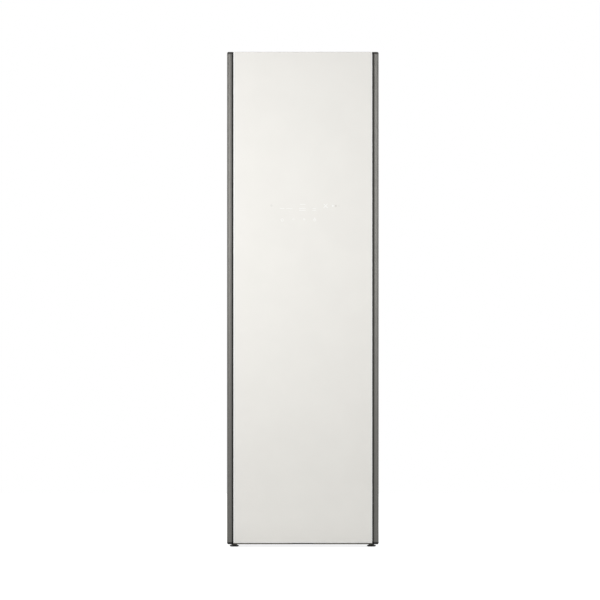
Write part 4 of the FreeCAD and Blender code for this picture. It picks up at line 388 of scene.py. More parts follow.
def object_place(tree, scale=(1.0, 1.0, 1.0)):
    coordinates = node(tree, "TexCoord").outputs["Object"]
    return node(tree, "Mapping", {"Vector": coordinates, "Scale": scale}).outputs[0]


def noise(tree, place, scale, detail=2.0, **more):
    inputs = {"Vector": place, "Scale": scale, "Detail": detail, **more}
    return node(tree, "TexNoise", inputs).outputs[0]


print("tools: math_node, spread, object_place, noise")

# %% [markdown]
# No real edge is sharp. A Bevel node rounds the normal at each edge, and where it differs from the
# flat normal, paint and polish wear off. Moulded grain is fine noise, and drawn metal has the same
# noise stretched along the piece.

# %% Edges, grain and drawn lines
tree, radius, end = effect("soft_edges", "Radius", 0.0005, Normal="Vector", Edge="Float")
rounded = node(tree, "Bevel", {"Radius": radius}, samples=4).outputs[0]
flat = node(tree, "NewGeometry").outputs["Normal"]
same = node(tree, "VectorMath", {0: rounded, 1: flat}, operation="DOT_PRODUCT").outputs["Value"]
send(tree, end, Normal=rounded, Edge=spread(tree, same, 0.98, 0.72))

tree, scale, end = effect("moulded_grain", "Scale", 900.0, Height="Float", Mask="Float")
place = object_place(tree)
patches = spread(tree, noise(tree, place, 9.0), 0.35, 0.65)
send(tree, end, Height=noise(tree, place, scale), Mask=patches)

tree, scale, end = effect("drawn_lines", "Scale", 1500.0, Height="Float", Mask="Float")
lines = noise(tree, object_place(tree, (1.0, 1.0, 0.004)), scale, 3.0)
send(tree, end, Height=lines, Mask=spread(tree, lines, 0.35, 0.65))
print("effects:", ", ".join(effects))

# %% [markdown]
# Zinc freezes in crystals that each mirror a little differently, which Voronoi cells show. Hands
# leave broad smears in the gloss. Dust settles on faces that look up, thicker in places. Cloth has
# warp and weft, here two sets of waves of which the higher one shows, and some fuzz.

# %% Crystals, smears, dust and weave
tree, scale, end = effect("zinc_crystals", "Scale", 90.0, Height="Float", Mask="Float")
place = object_place(tree)
warp = node(tree, "TexNoise", {"Vector": place, "Scale": 40.0}).outputs["Color"]
warped = node(tree, "Mix", {0: 0.03, 4: place, 5: warp}, data_type="VECTOR").outputs[1]
cells = node(tree, "TexVoronoi", {"Vector": warped, "Scale": scale}).outputs["Color"]
grey = node(tree, "SeparateColor", {0: cells}).outputs[0]
send(tree, end, Height=grey, Mask=grey)

tree, scale, end = effect("handling_marks", "Scale", 14.0, Mask="Float")
smears = noise(tree, object_place(tree), scale, 5.0, Roughness=0.65, Distortion=0.6)
send(tree, end, Mask=spread(tree, smears, 0.42, 0.62))

tree, amount, end = effect("settled_dust", "Amount", 0.15, Mask="Float")
normal = node(tree, "NewGeometry").outputs["Normal"]
up = spread(tree, node(tree, "SeparateXYZ", {0: normal}).outputs["Z"], 0.6, 0.95)
cloud = spread(tree, noise(tree, object_place(tree), 30.0, 6.0), 0.3, 0.7)
lies = math_node(tree, "MULTIPLY", up, cloud)
send(tree, end, Mask=math_node(tree, "MULTIPLY", lies, amount))

tree, scale, end = effect("cloth_weave", "Scale", 160.0, Height="Float", Mask="Float")
place = object_place(tree)
wave = {"Vector": place, "Scale": scale, "Distortion": 0.4, "Detail": 1.0}
sets = [node(tree, "TexWave", wave, bands_direction=way).outputs["Fac"] for way in ("X", "Z")]
crossed = math_node(tree, "MAXIMUM", *sets)
fuzz = math_node(tree, "MULTIPLY", noise(tree, place, 900.0), 0.4)
send(tree, end, Height=math_node(tree, "ADD", crossed, fuzz), Mask=crossed)
print("effects:", ", ".join(effects))

# %% [markdown]
# ## Finishes
# One function lays down the order that all finishes share: colour, a pattern that varies it,
# paler worn edges, dust on top, uneven gloss, and a bump under a softly rounded normal.
# Each finish gives its own numbers, because a painted sheet and a moulded grip differ in those.


# %% Colours and effects in a material
def shade(*screen):
    """A colour as a screen shows it, 0 to 255, as the linear colour that a shader wants."""
    return (*(((c / 255 + 0.055) / 1.055) ** 2.4 for c in screen), 1.0)


def use(tree, name, **inputs):
    return node(tree, "Group", inputs, node_tree=effects[name])


def blend_colours(tree, share, first, second):
    return node(tree, "Mix", {0: share, 6: first, 7: second}, data_type="RGBA").outputs[2]


DUST_COLOUR = shade(190, 186, 178)
print("dust in linear colour:", [round(c, 2) for c in DUST_COLOUR])

# %% The shared order of a finish
finishes = {}


def finish(name, colour, rough, scale=900, bump=0.15, pattern="moulded_grain", depth=0.08,
           vary=0.08, gloss_vary=0.06, edge=0.5, wear=0.12, dust=0.1, tint=None, **fixed):
    """Makes a material. The bump's depth and the edge's radius are in millimetres, and the extra
    words are sockets of the shader, such as Metallic or Coat_Weight."""
    material = finishes[name] = bpy.data.materials.new(name + "_finish")
    material.use_nodes = True
    tree = material.node_tree
    shader = tree.nodes["Principled BSDF"]
    detail = use(tree, pattern, Scale=scale)
    soft = use(tree, "soft_edges", Radius=edge * MM)
    dusty = use(tree, "settled_dust", Amount=dust).outputs["Mask"]
    smears = use(tree, "handling_marks").outputs["Mask"]

    plain = shade(*colour)
    darker = (*(c * (1 - vary) for c in plain[:3]), 1.0)
    lighter = (*(min(1.0, c * 1.25 + 0.03) for c in plain[:3]), 1.0)
    painted = blend_colours(tree, detail.outputs["Mask"], plain, darker)
    if tint:
        painted = tint(tree, painted)
    worn = math_node(tree, "MULTIPLY", soft.outputs["Edge"], wear)
    painted = blend_colours(tree, worn, painted, lighter)
    painted = blend_colours(tree, dusty, painted, DUST_COLOUR)

    gloss = spread(tree, smears, 0.0, 1.0, max(0.02, rough - gloss_vary), rough + gloss_vary)
    gloss = math_node(tree, "ADD", gloss, dusty, True)
    bumps = {"Strength": bump, "Distance": depth * MM, "Height": detail.outputs["Height"],
             "Normal": soft.outputs["Normal"]}
    relief = node(tree, "Bump", bumps).outputs[0]
    send(tree, shader, Base_Color=painted, Roughness=gloss, Normal=relief, **fixed)


print("effects to choose from:", len(effects))

# %% [markdown]
# ### Metals and paints
# The door's side extrusions are satin anodised aluminium in a warm dark grey, drawn lengthways.
# The casing is sheet steel with a fine textured paint, the back and the brackets are galvanised,
# where zinc crystals show, and the rod is chromed. A table keeps so many numbers comparable.

# %% Metals and paints
GRAIN, LINES, ZINC = "moulded_grain", "drawn_lines", "zinc_crystals"
METALS = [
    # name, colour, rough, scale, bump, pattern, depth, vary, gloss_vary, edge, wear, dust
    ("galvanised_steel", (156, 158, 160), 0.45, 150, 0.08, ZINC, 0.1, 0.07, 0.04, 0.5, 0.1, 0.15),
    ("hinge_steel", (188, 189, 192), 0.34, 160, 0.06, ZINC, 0.05, 0.12, 0.06, 0.6, 0.2, 0.08),
    ("screw_steel", (176, 177, 180), 0.3, 2600, 0.08, LINES, 0.05, 0.12, 0.05, 0.3, 0.25, 0.05),
    ("motor_steel", (190, 190, 188), 0.38, 900, 0.12, LINES, 0.06, 0.14, 0.06, 0.8, 0.15, 0.1),
    ("rod_steel", (214, 215, 217), 0.09, 2200, 0.03, LINES, 0.03, 0.04, 0.03, 0.6, 0.1, 0.03),
    ("shelf_wire", (210, 211, 213), 0.14, 1500, 0.05, GRAIN, 0.04, 0.05, 0.04, 0.5, 0.1, 0.04),
    ("coil_aluminium", (206, 208, 210), 0.32, 1200, 0.12, LINES, 0.06, 0.1, 0.06, 0.3, 0.15, 0.08),
    ("copper", (205, 130, 92), 0.28, 60, 0.08, GRAIN, 0.1, 0.35, 0.08, 0.5, 0.1, 0.05),
]
for metal in METALS:
    finish(*metal, Metallic=1.0)
finish("side_trim", (92, 91, 88), 0.36, 1800, 0.1, LINES, 0.05, vary=0.1, gloss_vary=0.012,
       edge=0.6, wear=0.15, dust=0.05, Metallic=0.75)
finish("lip_metal", (92, 89, 83), 0.45, 1800, 0.1, LINES, 0.05, vary=0.06, gloss_vary=0.04,
       edge=0.4, wear=0.1, dust=0.0, Metallic=0.4)
finish("casing", (146, 144, 139), 0.42, 1400, 0.25, vary=0.01, gloss_vary=0.015, edge=0.8,
       wear=0.15, dust=0.05, Coat_Weight=0.15, Coat_Roughness=0.3)
finish("compressor_black", (34, 34, 36), 0.32, 500, 0.3, depth=0.1, vary=0.1, edge=1.0, wear=0.2,
       dust=0.25, Coat_Weight=0.3, Coat_Roughness=0.2)
print("metals and paints:", len(finishes))

# %% [markdown]
# ### Plastics and rubbers
# Moulded plastic shows the spark-eroded grain of its tool, so it gets a fine even bump.
# The chamber walls are smoother and whiter than the dark caps, and rubber is dull with soft edges.

# %% Plastics and rubbers
finish("cap_plastic", (50, 49, 47), 0.46, 1600, 0.25)
# A blacker copy of the cap plastic: painted shade for the cap near the floor.
finish("cap_plastic_shaded", (26, 26, 25), 0.6, 1600, 0.25, wear=0.05, dust=0.0,
       Specular_IOR_Level=0.3)
# Black for the beads beside the glass: painted shadow for the gap between glass and extrusions.
finish("gap_shadow_black", (34, 34, 33), 0.5, 1800, 0.2, wear=0.03, dust=0.0)
finish("foot_plastic", (24, 24, 24), 0.42, 1100, 0.3, wear=0.2, dust=0.2)
finish("dark_plastic", (62, 62, 64), 0.45, 1300, 0.25, wear=0.15)
finish("grey_plastic", (150, 150, 149), 0.4, 1300, 0.2, dust=0.06)
finish("liner_white", (228, 228, 224), 0.34, 420, 0.12, depth=0.1, vary=0.03, edge=1.2,
       wear=0.05, dust=0.05, Coat_Weight=0.2, Coat_Roughness=0.15)
finish("press_board", (222, 222, 219), 0.36, scale=700, vary=0.03, edge=1.0, Coat_Weight=0.15,
       Coat_Roughness=0.2)
finish("duct_plastic", (205, 204, 198), 0.55, 1000, 0.3)
finish("impeller_plastic", (66, 66, 69), 0.4, 1500, 0.2)
finish("boiler_plastic", (176, 170, 160), 0.5, 800, 0.3)
finish("bush_plastic", (232, 231, 226), 0.3, 1500, 0.1)
finish("gasket_rubber", (128, 128, 127), 0.6, 1500, 0.2, edge=0.6, wear=0.04,
       Sheen_Weight=0.15)
finish("hose_rubber", (44, 44, 45), 0.55, 1200, 0.35, wear=0.05, Sheen_Weight=0.1)
finish("tank_plastic", (228, 233, 236), 0.2, 200, 0.05, vary=0.03, edge=1.0, wear=0.05,
       dust=0.02, Transmission_Weight=0.45, IOR=1.49)
finish("lens_plastic", (240, 240, 236), 0.25, 260, 0.3, depth=0.3, dust=0.0,
       Transmission_Weight=0.3, Subsurface_Weight=0.3)
print("with plastics and rubbers:", len(finishes))

# %% [markdown]
# ### Finishes with a pattern of their own
# The pad's cloth, the foam's beads and the circuit board's tracks each need more than grain.
# The board's tracks come from a square cell pattern, cut off hard, so they read as printed copper.


# %% Cloth, foam and circuit board
def bead_tint(tree, painted):
    cells = node(tree, "TexVoronoi", {"Vector": object_place(tree), "Scale": 260.0},
                 feature="DISTANCE_TO_EDGE").outputs["Distance"]
    return blend_colours(tree, spread(tree, cells, 0.0, 0.08), shade(196, 196, 190), painted)


def track_tint(tree, painted):
    square = {"Vector": object_place(tree), "Scale": 210.0, "Randomness": 0.55}
    cells = node(tree, "TexVoronoi", square, distance="MANHATTAN", feature="F1").outputs["Distance"]
    from_line = math_node(tree, "ABSOLUTE", math_node(tree, "SUBTRACT", cells, 0.42))
    return blend_colours(tree, spread(tree, from_line, 0.05, 0.03), painted, shade(150, 166, 92))


finish("press_pad", (112, 112, 113), 0.85, 170, 0.6, "cloth_weave", 0.4, vary=0.35,
       gloss_vary=0.05, edge=0.6, wear=0.1, dust=0.03, Sheen_Weight=0.35, Sheen_Roughness=0.5)
finish("pad_cord", (74, 74, 76), 0.75, 1800, 0.5, depth=0.1, vary=0.2, gloss_vary=0.04,
       edge=0.4, wear=0.1, dust=0.0, Sheen_Weight=0.25, Sheen_Roughness=0.5)
finish("pad_thread", (158, 158, 157), 0.7, 2400, 0.4, depth=0.05, vary=0.15,
       gloss_vary=0.04, edge=0.3, wear=0.05, dust=0.0, Sheen_Weight=0.2)
finish("foam", (236, 236, 231), 0.7, 260, 0.5, depth=0.5, vary=0.05, tint=bead_tint)
finish("circuit_board", (28, 92, 56), 0.3, 900, 0.1, depth=0.05, vary=0.1, tint=track_tint,
       Coat_Weight=0.4, Coat_Roughness=0.1)
print("with cloth, foam and boards:", len(finishes))

# %% [markdown]
# ### The door's glass
# The front is clear glass over a cream lacquer, so it needs a warm colour under a hard, even coat.
# A see-through sheet over a painted one is nearer to the real door, but needs more samples.
# A narrow band, a little darker than the field, is painted just inside each ground side.
# The ground edge itself catches more light than the field, and its whiter finish adds a painted
# highlight to that.

# %% Glass finishes
GLASS_HALF = 274.5
GLASS_LOW, GLASS_HIGH = 17.0, 1959.5
EDGE_WIDTH = 4.5


def border_tint(tree, painted):
    place = node(tree, "SeparateXYZ", {0: node(tree, "TexCoord").outputs["Object"]})
    from_side = math_node(tree, "SUBTRACT", (GLASS_HALF - EDGE_WIDTH) * MM,
                          math_node(tree, "ABSOLUTE", place.outputs["X"]))
    line = spread(tree, from_side, 1.4 * MM, 2.2 * MM, 0.35, 0.0)
    return blend_colours(tree, line, painted, shade(186, 183, 176))


finish("front_glass", (238, 236, 231), 0.12, 3, 0.0, depth=0.01, vary=0.015,
       gloss_vary=0.04, edge=0.4, wear=0.0, dust=0.0, tint=border_tint, Coat_Weight=1.0,
       Coat_Roughness=0.02, Coat_IOR=1.52, Specular_IOR_Level=0.1)
# The ground edge's whiter colour is partly a painted highlight.
finish("ground_edge", (246, 246, 244), 0.22, 2600, 0.05, LINES, 0.02, vary=0.03,
       gloss_vary=0.05, edge=0.4, wear=0.1, dust=0.0, Coat_Weight=0.6, Coat_Roughness=0.08)
for name, colour, rough, vary in (("touch_print", (252, 252, 250), 0.35, 0.02),
                                  ("sensor_print", (222, 219, 213), 0.25, 0.05),
                                  ("window_print", (233, 231, 226), 0.2, 0.05)):
    finish(name, colour, rough, scale=2000, bump=0.05, depth=0.01, vary=vary, gloss_vary=0.04,
           edge=0.1, wear=0.0, dust=0.0)
print("all finishes:", len(finishes))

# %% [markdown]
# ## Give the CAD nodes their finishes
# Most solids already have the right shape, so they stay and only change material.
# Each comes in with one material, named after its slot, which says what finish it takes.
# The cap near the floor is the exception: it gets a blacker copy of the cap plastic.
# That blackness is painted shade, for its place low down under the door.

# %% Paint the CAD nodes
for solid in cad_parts.values():
    slot = solid.data.materials[0].name.split(".")[0]
    solid.data.materials[0] = finishes[slot]
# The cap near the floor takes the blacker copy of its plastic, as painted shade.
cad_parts["door_bottom_cap"].data.materials[0] = finishes["cap_plastic_shaded"]


def fit(piece, finish_name, body, *nodes, slot=None):
    """Gives a piece its material, and its place on a body instead of those nodes.
    The slot is not used.
    """
    if not piece.data.materials:
        piece.data.materials.append(finishes[finish_name])
    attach(piece, body)
    if nodes:
        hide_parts(*nodes)
    return piece


print("painted nodes:", len(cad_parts))

# %% [markdown]
# ## The door's front
# The glass is one sheet, ground down on both sides and along the bottom over a width of 4.5 mm.
# It is cut at those lines, and its outer front edge is pushed back, as grinding shapes it.
# A bevel would slope the top edge as well, which isn't ground.

# %% The glass sheet
GLASS_FRONT, GLASS_BACK = -297.9, -294
GROUND_OFF = 1.2


def beyond(p, margin):
    """Whether a place is outside, or less than a margin inside, the sheet's sides and bottom."""
    return abs(p.x) > GLASS_HALF - margin or p.z < GLASS_LOW + margin


glass = block("front_glass_sheet", -GLASS_HALF, GLASS_HALF, GLASS_FRONT, GLASS_BACK,
              GLASS_LOW, GLASS_HIGH)
slice_at(glass, X, [EDGE_WIDTH - GLASS_HALF, GLASS_HALF - EDGE_WIDTH])
slice_at(glass, Z, [GLASS_LOW + EDGE_WIDTH])
push(glass, lambda p, n: p.y < GLASS_FRONT + 1 and beyond(p, 1), 0, GROUND_OFF, 0)
for look in ("front_glass", "ground_edge"):
    glass.data.materials.append(finishes[look])
for face in glass.data.polygons:
    ground = beyond(face.center / MM, EDGE_WIDTH) and face.normal.y < 0.5
    face.material_index = 1 if ground else 0
soften(glass, 0.25, 2, 12)
fit(glass, "front_glass", "door", "door_glass")
print("glass faces:", len(glass.data.polygons))

# %% [markdown]
# A black bead fills the corner between the glass and each side extrusion. It is painted shadow: a
# dark strip where the narrow gap there lies in shade. A thin carrier strip, in the same black,
# closes the foam core's side behind the glass. Both run straight, so a long block with its free
# edges rounded does instead of a swept curve.

# %% Beads of painted shadow in the gap
GAP_SHADOW_LOW, GAP_SHADOW_HIGH = 20.2, 1951.8
beads = []
# Each bead is a dark strip put where the gap lies in shade: painted shadow.
for sign in (-1, 1):
    bead = block("sealant", *side_span(sign, 274.55, 278.8), -289.6, -285.6,
                 GAP_SHADOW_LOW, GAP_SHADOW_HIGH)
    bevel(bead, along(Z, lambda p: p.y < -289 and p.x * sign > 277), 3.2, 4)
    carrier = block("carrier", *side_span(sign, 274.53, 276.1), -294.4, -286,
                    GAP_SHADOW_LOW, GAP_SHADOW_HIGH)
    bevel(carrier, along(Z, lambda p: p.y < -294 and p.x * sign > 275.5), 0.8, 3)
    beads += [bead, carrier]
fit(smooth(join("glass_gap_shadow", beads)), "gap_shadow_black", "door", slot="cap_plastic")
print("sealant beads and carriers:", len(beads))

# %% [markdown]
# Below the glass a narrow metal lip closes the door. A shallow notch in its middle lets a hand in,
# and is cut out by a second block, as a mill does it.

# %% Bottom lip
lip = block("door_lip", -274.3, 274.3, -295.4, -293.8, 12.2, 16.9)
carve(lip, block("hand_notch", -40, 40, -297, -292, 10, 15.9))
soften(lip, 0.35, 2, 35)
fit(lip, "lip_metal", "door", slot="side_trim")
print("lip faces:", len(lip.data.polygons))

# %% [markdown]
# ## Marks of the touch panel
# Small plain symbols are printed on the glass: dots, dashes, a cross, a play sign and a pause sign.
# A mask in the glass's material could print them. Thin plates just in front of the glass stay crisp
# at any size, and each can be moved on its own.

# %% Dashes and dots
MARK_BACK = GLASS_FRONT
MARK_FRONT = -297.98


def dash(x, z, width, height=1.6):
    plate = block("dash", x - width / 2, x + width / 2, MARK_FRONT, MARK_BACK,
                  z - height / 2, z + height / 2)
    return bevel(plate, along(Y), min(width, height) * 0.4, 3)


def spot(x, z, radius, sides=24, hole=0):
    """A dot, or a ring where it has a hole. Three sides make a triangle, and four a diamond."""
    deselect()
    bpy.ops.mesh.primitive_circle_add(vertices=sides, radius=radius * MM, fill_type="NGON",
                                      location=(x * MM, MARK_BACK * MM, z * MM),
                                      rotation=(math.radians(90), 0, 0))
    plate = name_new("spot")
    pick(plate, lambda p, n: True)
    if hole:
        bpy.ops.mesh.inset(thickness=(radius - hole) * MM, depth=0)
        bpy.ops.mesh.delete(type="FACE")
        bpy.ops.mesh.select_all(action="SELECT")
    draw_out(0, MARK_FRONT - MARK_BACK, 0)
    done(plate)
    return face_outwards(plate)


print("thickness of a mark:", round(MARK_BACK - MARK_FRONT, 2))

# %% Lay out the marks
DASHES = [(-82, 1341, 18), (-54, 1341, 24, 1.2), (-1, 1357, 22), (-2, 1341, 26), (-2, 1333.5, 26),
          (45, 1341, 14), (45, 1333.5, 14), (5, 1296, 10), (5, 1300, 6)]
cross = carve(*(turn(dash(90, 1351, 22, 2), angle, "Y", 90, 0, 1351) for angle in (45, -45)),
              "UNION")
play = turn(spot(119, 1351, 5, 3), 30, "Y", 119, 0, 1351)
ring = spot(-82, 1295, 5.5, hole=4.3)
diamond = spot(-37, 1298, 4.5, 4, 3.6)
power = carve(spot(47, 1295, 5, hole=3.6), dash(47, 1301, 1.6, 7), "UNION")
signs = [cross, play, ring, diamond, power]
printed = join("touch_marks", [dash(*place) for place in DASHES] + signs)
fit(printed, "touch_print", "door", slot="front_glass")
print("mark faces:", len(printed.data.polygons))

# %% [markdown]
# Two sensors look out through the glass. Their windows and the pause sign are a little darker than
# the lacquer. Each plate gets its own finish before they are joined, and keeps it.

# %% Sensors
sensor = spot(130.5, 1351, 4)
sensor.data.materials.append(finishes["sensor_print"])
windows = [spot(-124.4, 1352, 4.5), dash(141, 1351, 1.6, 9), dash(145.5, 1351, 1.6, 9)]
for plate in windows:
    plate.data.materials.append(finishes["window_print"])
fit(join("touch_sensors", windows + [sensor]), "sensor_print", "door", slot="front_glass")
print("sensor plates:", len(windows) + 1)

# %% [markdown]
# ## Feet
# A levelling foot is a moulded disc with a gripped rim, a hexagon for the spanner, and a threaded
# stud. A spun outline would give the round parts too. A disc drawn up through radii leaves one row
# of faces for each step, so every second face of the rim can be pressed in for the fingers.

# %% One foot
FOOT_DISC = [(13.6, 0.3), (15.6, 0.6), (17.4, 2), (18, 3.2), (18, 5), (17.2, 5.8),
             (14.4, 6.8), (12, 7.5), (11.4, 8.2), (10.6, 8.4)]
STUD_TOP = 48
THREAD_PITCH = 1.6
THREAD_CREST, THREAD_ROOT = 5, 4.4


def levelling_foot(name, x, y, top):
    """Top is where the hexagon ends and the stud goes on."""
    disc = turned(name, x, y, FOOT_DISC)
    press_in(disc, every_other(x, y, 15), 0.25, 0.6)
    nut = turned(name + "_nut", x, y, [(11, 8), (11, top - 0.8), (10.3, top)], 6)
    turn(nut, 30, "Z", x, y, 0)
    thread = [(THREAD_ROOT, top - 1)]
    for ridge in range(int((STUD_TOP - top) / THREAD_PITCH)):
        start = ridge * THREAD_PITCH
        thread += [(THREAD_CREST, top + THREAD_PITCH / 2 + start),
                   (THREAD_ROOT, top + THREAD_PITCH + start)]
    stud = turned(name + "_stud", x, y, thread, 20)
    return soften(join(name, [disc, nut, stud]), 0.2, 2, 40)


print("steps in the disc:", len(FOOT_DISC))

# %% Four feet
FOOT_X = 272
FOOT_FRONT_Y, FOOT_REAR_Y = -200, 250
for side, sign in (("left", -1), ("right", 1)):
    foot = levelling_foot("screw_foot_" + side, sign * FOOT_X, FOOT_FRONT_Y, 16)
    fit(foot, "foot_plastic", "levelling_foot_" + side, "levelling_foot_" + side)
rear_feet = [levelling_foot("rear_foot", sign * FOOT_X, FOOT_REAR_Y, 20) for sign in (-1, 1)]
fit(join("fixed_feet", rear_feet), "foot_plastic", "cabinet", "rear_feet")
print("feet:", 2 + len(rear_feet))

# %% [markdown]
# ## Screws
# A pan head has a flat rim, a low dome and a cross recess. One is turned and carved with two small
# blocks, and laid flat for the rear sheet. Copies go into each hole of the back, the top edge and
# the hinge plate. They need their own meshes, because the set becomes one piece.

# %% Model one screw and copy it
SCREW_OUTLINE = [(1.2, -7), (1.75, -6), (1.75, 0), (3.8, 0), (3.8, 0.8), (3.5, 1.4), (2.7, 1.85),
                 (1.6, 2)]
BACK_FACE = 290
REAR_SCREW_X = (-291.2, 291.2)
REAR_SCREW_ROWS = [80 + row * 1804 / 6 for row in range(7)]
TOP_SCREWS = [(-237.2, -230, 1944), (0, -230, 1944), (177.2, -230, 1944), (260.2, -184, 1948),
              (282, -184, 1948)]

standing = turned("screw", 0, 0, SCREW_OUTLINE, 24)
for width, depth in ((0.45, 2.1), (2.1, 0.45)):
    carve(standing, block("recess", -width, width, -depth, depth, 0.9, 3))
soften(standing, 0.08, 1, 40)
lying = turn(copy_of(standing), 90, "X")
screws = [copy_of(lying, x, BACK_FACE, z) for z in REAR_SCREW_ROWS for x in REAR_SCREW_X]
screws += [copy_of(standing, *place) for place in TOP_SCREWS]
for pattern in (standing, lying):
    delete(pattern)
fit(smooth(join("casing_screws", screws)), "screw_steel", "cabinet", "case_screws")
print("screws:", len(screws))

# %% [markdown]
# ## The door's seal and inner moulding
# The seal is a soft hollow ring with a groove in its face. The skin inside it has a raised frame.
# A profile swept along a curve could bulge at the corners. Insets keep their width there: they
# walk across the ring, each with its own rise, and so draw the section.

# %% Seal and inner moulding
DOOR_BACK = -242
SEAL_STEPS = [(0.9, 1.6), (1.6, 1.2), (1.9, 0.3), (0.7, -1.4)]
seal = moulded_ring("door_seal", -281, 281, 137, 1863, DOOR_BACK, 1, 14, 4.6, SEAL_STEPS)
fit(seal, "gasket_rubber", "door", "door_gasket")
moulding = moulded_ring("door_moulding", -258, 258, 148, 1852, DOOR_BACK, 1, 10, 1.6,
                        [(1.4, 1.2), (1, 0.5)], (7, 0))
fit(moulding, "liner_white", "door")
print("seal faces:", len(seal.data.polygons))

# %% [markdown]
# ## The back
# Sheet this large is stiffened with pressed beads, and air leaves through hooded louvres. A bump
# would give the same shading, but no edge against the light. So the beads are rings, and a hood is
# a short box, rounded at its top edge and ends, with its underside left open for the air.

# %% Beads
rear_beads = [moulded_ring("bead", -236, 236, low, high, BACK_FACE, 1, 24, 0.3,
                           [(2, 0.9), (1.2, 0.3)], (5, 0))
              for low, high in ((1010, 1640), (280, 950))]
fit(join("rear_beads", rear_beads), "galvanised_steel", "cabinet")
print("beads:", len(rear_beads))

# %% Louvre hoods
HOOD_LOW, HOOD_HEIGHT = 89, 8
HOOD_PITCH = 14
hood = block("louvre_hood", 143, 237, BACK_FACE, 294.2, HOOD_LOW, HOOD_LOW + HOOD_HEIGHT)
bevel(hood, along(X, lambda p: p.y > 294 and p.z > HOOD_LOW + 7), 3.6, 5)
bevel(hood, along(Z, lambda p: p.y > 294), 2.6, 4)
pick(hood, lambda p, n: n.z < -NEARLY or n.y < -NEARLY)
bpy.ops.mesh.delete(type="FACE")
done(hood)
modify(hood, "SOLIDIFY", thickness=0.8 * MM, offset=-1)
hoods = [hood] + [copy_of(hood, z=HOOD_PITCH * row) for row in range(1, 9)]
fit(smooth(join("rear_louvres", hoods)), "galvanised_steel", "cabinet")
print("hoods:", len(hoods))

# %% [markdown]
# ## The trouser press pads
# Two cloth covered pads lie on the board. They are too thin for a voxel mesh, so each is a fine
# grid with its rim held, and a short cloth simulation under light pressure gives it its crown.

# %% Let cloth rise
PAD_BACK, PAD_RIM = -230, -232.4
PAD_CROWN = 1.4
PAD_COLUMN, PAD_ROW = 6.5, 9


def blow_up(piece, held):
    """Lets light pressure lift the cloth between its held seams, and caps how far it goes."""
    rest = [point.co.copy() for point in piece.data.vertices]
    cloth = piece.modifiers.new("cloth", "CLOTH")
    cloth.settings.use_pressure = True
    cloth.settings.uniform_pressure_force = 4.0
    cloth.settings.effector_weights.gravity = 0.0
    cloth.settings.vertex_group_mass = held.name
    cloth.settings.tension_stiffness = 8.0
    for step in range(1, 21):
        bpy.context.scene.frame_set(step)
    only(piece)
    bpy.ops.object.modifier_apply(modifier="cloth")
    for start, point in zip(rest, piece.data.vertices):
        moved = point.co - start
        if moved.length > PAD_CROWN * MM:
            moved *= PAD_CROWN * MM / moved.length
        moved.y = -abs(moved.y)
        point.co = start + moved


print("highest crown:", PAD_CROWN)

# %% [markdown]
# The rim and a sewn line inside it are held. The open back is closed by a filled grid, because one
# large face would crease under the subdivision that rounds the whole pad.


# %% Pads with a simulated crown
def pad(name, x0, x1, z0, z1):
    piece = upright_sheet(name, x0, x1, PAD_RIM, z0, z1,
                          round((x1 - x0) / PAD_COLUMN), round((z1 - z0) / PAD_ROW))

    def seam(p):
        edge = min(p.x - x0, x1 - p.x, p.z - z0, z1 - p.z)
        return edge < 1 or 10 < edge < 17

    held = piece.vertex_groups.new(name="held")
    held.add([point.index for point in piece.data.vertices if seam(point.co / MM)], 1, "REPLACE")
    blow_up(piece, held)
    pick_rims(piece)
    draw_out(0, PAD_BACK - PAD_RIM, 0)
    bpy.ops.mesh.fill_grid()
    done(piece)
    modify(face_outwards(piece), "SUBSURF", levels=1, render_levels=1)
    return smooth(piece, 60)


PAD_LOW, PAD_HIGH = 882, 1528
PAD_SIDES = {"left": (-133.7, -3.4), "right": (8.7, 139)}
pads = [pad("press_pad_" + side, *limits, PAD_LOW, PAD_HIGH) for side, limits in PAD_SIDES.items()]
for cushion, nodes in zip(pads, (["press_pads"], [])):
    fit(cushion, "press_pad", "trouser_press", *nodes)
print("pad faces:", [len(cushion.data.polygons) for cushion in pads])

# %% [markdown]
# A piping cord is sewn in round each pad's rim, and a row of stitches holds the padding inside it.
# The cord is a rectangle of edges with rounded corners, made a curve and given a thickness.
# One stitch is modelled, and an array along each side of the seam repeats it to fit the length.

# %% Piping and stitches
CLOTH_FACE = -232.3
PIPING_RADIUS = 1.1
PIPING_CORNER = 5
STITCH_FRONT = -233.1
STITCH_LENGTH, STITCH_WIDTH = 3.4, 0.9
STITCH_PITCH = 5


def piping(x0, x1, z0, z1):
    loop = upright_sheet("piping", x0, x1, CLOTH_FACE, z0, z1)
    pick(loop, lambda p, n: True)
    bpy.ops.mesh.delete(type="ONLY_FACE")
    edit_all(loop)
    bpy.ops.mesh.bevel(offset=PIPING_CORNER * MM, segments=6, affect="VERTICES")
    done(loop)
    bpy.ops.object.convert(target="CURVE")
    loop.data.bevel_depth = PIPING_RADIUS * MM
    loop.data.bevel_resolution = 3
    bpy.ops.object.convert(target="MESH")
    bpy.ops.object.shade_smooth()
    return face_outwards(loop)


def stitch_row(x, z, length, axis):
    """A row of stitches from its middle, along X or Z."""
    half = [STITCH_WIDTH / 2] * 3
    half[axis] = STITCH_LENGTH / 2
    count = int(length / STITCH_PITCH)
    start = -(count - 1) * STITCH_PITCH / 2
    x, z = (x, z + start) if axis == Z else (x + start, z)
    thread = block("stitch", x - half[X], x + half[X], STITCH_FRONT, CLOTH_FACE,
                   z - half[Z], z + half[Z])
    across = Z if axis == X else X
    bevel(thread, along(across, lambda p: p.y < -233), 0.35, 2)
    bevel(thread, along(axis, lambda p: p.y < -233), 0.3, 2)
    step = [0, 0, 0]
    step[axis] = STITCH_PITCH * MM
    return modify(thread, "ARRAY", count=count, use_relative_offset=False,
                  use_constant_offset=True, constant_offset_displace=step)


print("stitches in 100 mm:", int(100 / STITCH_PITCH))

